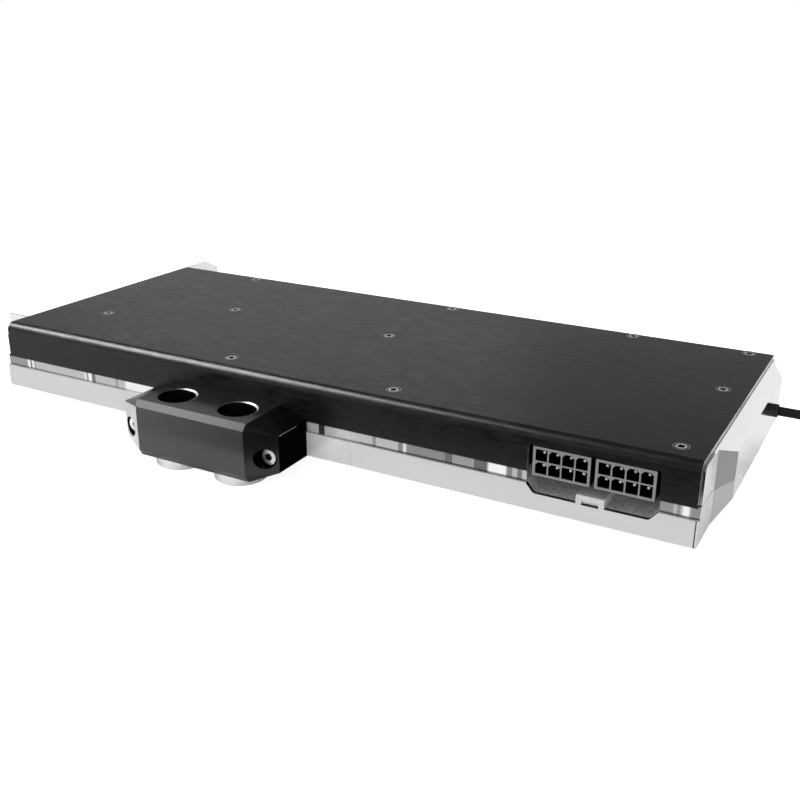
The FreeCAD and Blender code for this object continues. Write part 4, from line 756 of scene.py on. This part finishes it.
def socket_head():
    """White ring, and painted shade: black in the driver's recess and beside the head."""
    made, tree, shader = material("socket_head")
    face = below(tree, place_on(tree)["Y"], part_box("terminal_screws")[0].y + 0.1 * MM)
    tree.links.new(mixed(tree, face, grey(0.01), grey(0.95)), shader.inputs["Base Color"])
    tree.links.new(spread(tree, face, 0.6, 0.35), shader.inputs["Roughness"])
    tree.links.new(face, shader.inputs["Metallic"])
    return made


dress("terminal_screws", socket_head())


def plated_plug():
    made, tree, shader = material("plated_plug")
    tone = use(tree, uneven_tone, Size=120.0)["Tone"]
    tree.links.new(mixed(tree, tone, grey(0.92), grey(1.0)), shader.inputs["Base Color"])
    shader.inputs["Metallic"].default_value = 0.6
    tree.links.new(spread(tree, tone, 0.1, 0.2), shader.inputs["Roughness"])
    return made


dress("port_plugs", plated_plug())


# Lighting: a diffuser strip inside the right wall, with a thin black lead that leaves the
# end face through a moulded sleeve. Its spare length lies coiled with the connector on top.

dress("light_strip", moulded("strip_diffuser", (0.85, 0.85, 0.82), 0.5))
jacket = moulded("lead_jacket", (0.005, 0.005, 0.005), 0.5, 1200.0)
jacket.node_tree.nodes["Principled BSDF"].inputs["Specular IOR Level"].default_value = 0.25
dress("strip_tail", jacket)
dress("lead_sleeve", moulded("sleeve_rubber", (0.006, 0.006, 0.006), 0.5))
dress("lead_connector", moulded("connector_nylon", (0.02, 0.02, 0.02), 0.5))

sleeve_low, sleeve_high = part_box("lead_sleeve")
coil_low, coil_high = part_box("lead_coil")
lead_radius = (coil_high.z - coil_low.z) / 4
start = Vector((sleeve_low.x, (sleeve_low.y + sleeve_high.y) / 2, (sleeve_low.z + sleeve_high.z) / 2))
way_out = Vector((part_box("side_frame")[1].x, start.y, start.z))
# The seen run, in metres from where the lead leaves the end face
ROUTE = (
    (0.0115, 0.0, 0.0),
    (0.0265, 0.0017, -0.0011),
    (0.0445, 0.0043, -0.0122),
    (0.0620, 0.0053, -0.0213),
    (0.0795, 0.0050, -0.0213),
)
COIL_TURNS = 4
POINTS_PER_TURN = 16


def eased(value, start, length):
    """0 up to start, then rising to 1 over that length."""
    return min(max((value - start) / length, 0.0), 1.0)


def lead_points():
    """The lead's route, then two turns on the floor and two on top of them."""
    points = [start] + [way_out + Vector(step) for step in ROUTE]
    middle = (coil_low + coil_high) / 2
    outer = (coil_high.x - coil_low.x) / 2 - lead_radius
    inner = outer - 2 * lead_radius
    for i in range(2, COIL_TURNS * POINTS_PER_TURN + 1):
        turn = i / POINTS_PER_TURN
        angle = 2 * math.pi * turn - math.pi / 2
        layer = 0 if turn <= 2 else 1
        wander = eased(turn - 2 * layer, 0.85, 0.3)
        radius = outer + (inner - outer) * (wander if layer == 0 else 1 - wander)
        height = coil_low.z + lead_radius + eased(turn, 1.9, 0.25) * 2 * lead_radius
        points.append(Vector((middle.x + radius * math.cos(angle),
                              middle.y + radius * math.sin(angle), height)))
    return points


def round_curve(name, points, radius):
    """A round solid curve near the points, with closed ends."""
    curve = bpy.data.curves.new(name, "CURVE")
    curve.dimensions = "3D"
    curve.bevel_depth = radius
    curve.bevel_resolution = 6
    curve.resolution_u = 6
    curve.use_fill_caps = True
    spline = curve.splines.new("NURBS")
    spline.points.add(len(points) - 1)
    for point, place in zip(spline.points, points):
        point.co = (*place, 1.0)
    spline.order_u = 3
    spline.use_endpoint_u = True
    return placed(name, curve)


lead = round_curve("lighting_lead", lead_points(), lead_radius)
lead.data.materials.append(jacket)
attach(lead, "root")
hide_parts("lead", "lead_coil")


# Studio: a white table and a white background. Soft lamps stand above the part, to its left
# and in front, and a black card on the table darkens what the flange mirrors.

def looked_at(tree):
    """Light Path, and 1 where the camera looks straight or through glass."""
    path = add(tree, "ShaderNodeLightPath").outputs
    return path, larger(tree, path["Is Camera Ray"], path["Is Transmission Ray"])


TABLE_HALF = 3.0
TABLE_GLOW = 0.8                # towards the camera alone


def flat_card(name, left, right, front, back, height):
    data = bpy.data.meshes.new(name)
    corners = ((left, front), (right, front), (right, back), (left, back))
    data.from_pydata([(x, y, height) for x, y in corners], [], [(0, 1, 2, 3)])
    return placed(name, data)


floor = flat_card("table_top", -TABLE_HALF, TABLE_HALF, -TABLE_HALF, TABLE_HALF, 0.0)
made, tree, shader = material("table_white")
shader.inputs["Base Color"].default_value = grey(0.9)
shader.inputs["Roughness"].default_value = 0.8
shader.inputs["Specular IOR Level"].default_value = 0.0
shader.inputs["Emission Color"].default_value = grey(1.0)
tree.links.new(times(tree, looked_at(tree)[1], TABLE_GLOW), shader.inputs["Emission Strength"])
floor.data.materials.append(made)

# The sky that metal mirrors, by height: white at the horizon, 0.45 at LOW, 0.12 from HIGH up
LOW, HIGH = 0.22, 0.5
AMBIENT = 0.4
world = bpy.data.worlds.new("studio")
world.use_nodes = True
tree = world.node_tree
back = tree.nodes["Background"]
back.inputs["Color"].default_value = grey(1.0)
height = axes(tree, add(tree, "ShaderNodeTexCoord").outputs["Generated"])["Z"]
sky = minus(tree, ramp(tree, height, 0.0, LOW, 1.0, 0.45), ramp(tree, height, LOW, HIGH, 0.0, 0.33))
path, seen = looked_at(tree)
mirrored = times(tree, path["Is Glossy Ray"], sky)
ambient = times(tree, path["Is Diffuse Ray"], AMBIENT)
tree.links.new(larger(tree, larger(tree, seen, mirrored), ambient), back.inputs["Strength"])
bpy.context.scene.world = world


def softbox(name, place, target, width, height, power, only=None):
    """A soft lamp. With only, it lights matt surfaces alone, or shows in glossy ones alone."""
    lamp = bpy.data.lights.new(name, "AREA")
    lamp.shape = "RECTANGLE"
    lamp.size, lamp.size_y = width, height
    lamp.energy = power
    made = placed(name, lamp)
    made.location = place
    made.rotation_euler = (Vector(target) - Vector(place)).to_track_quat("-Z", "Y").to_euler()
    made.visible_diffuse = only != "glossy"
    made.visible_glossy = only != "matt"


softbox("over_fold", (-0.56, -0.28, 0.62), (-0.12, -0.03, 0.0), 0.50, 0.46, 14.0, "glossy")
softbox("back_left", (-0.68, 0.95, 0.60), (-0.03, 0.0, 0.0), 0.7, 0.4, 0.4, "glossy")
softbox("front_left", (-0.70, -0.70, 0.50), (-0.03, -0.05, 0.0), 0.3, 0.3, 1.0)
softbox("overhead", (0.0, 0.05, 0.9), (0.0, 0.0, 0.0), 0.5, 0.5, 4.4, "matt")
softbox("overhead_shine", (0.0, 0.05, 0.9), (0.0, 0.0, 0.0), 0.5, 0.5, 1.6, "glossy")
softbox("front_fill", (0.10, -0.95, 0.30), (0.0, -0.05, 0.0), 0.8, 0.4, 4.0, "matt")


def black_flag(name, left, right, front, back, clear_at, dark_at):
    """A black card on the table that only reflections show, clearing towards its left."""
    flag = flat_card(name, left, right, front, back, 1.0 * MM)
    made, tree, shader = material(name)
    shader.inputs["Base Color"].default_value = grey(0.0)
    shader.inputs["Specular IOR Level"].default_value = 0.0
    tree.links.new(ramp(tree, place_on(tree)["X"], clear_at, dark_at, 0.0, 1.0), shader.inputs["Alpha"])
    flag.data.materials.append(made)
    flag.visible_camera = flag.visible_diffuse = flag.visible_shadow = flag.visible_transmission = False


black_flag("front_flag", -0.10, 0.34, -0.40, -0.101, -0.09, 0.03)


# Camera: a 45 mm lens in front of the part, to its right and a little above, a sixth of a
# degree off level.

camera = bpy.data.cameras.new("camera")
camera.lens = 45.26
camera.sensor_width = 36.0
azimuth, elevation, roll = math.radians(28.95), math.radians(21.04), math.radians(0.16)
view = placed("camera", camera)
view.location = (0.18969, -0.31539, 0.14862)
view.rotation_euler = (math.pi / 2 - elevation, 0.0, azimuth)
view.rotation_euler.rotate_axis("Z", roll)
bpy.context.scene.camera = view
bpy.context.scene.view_settings.view_transform = "Standard"
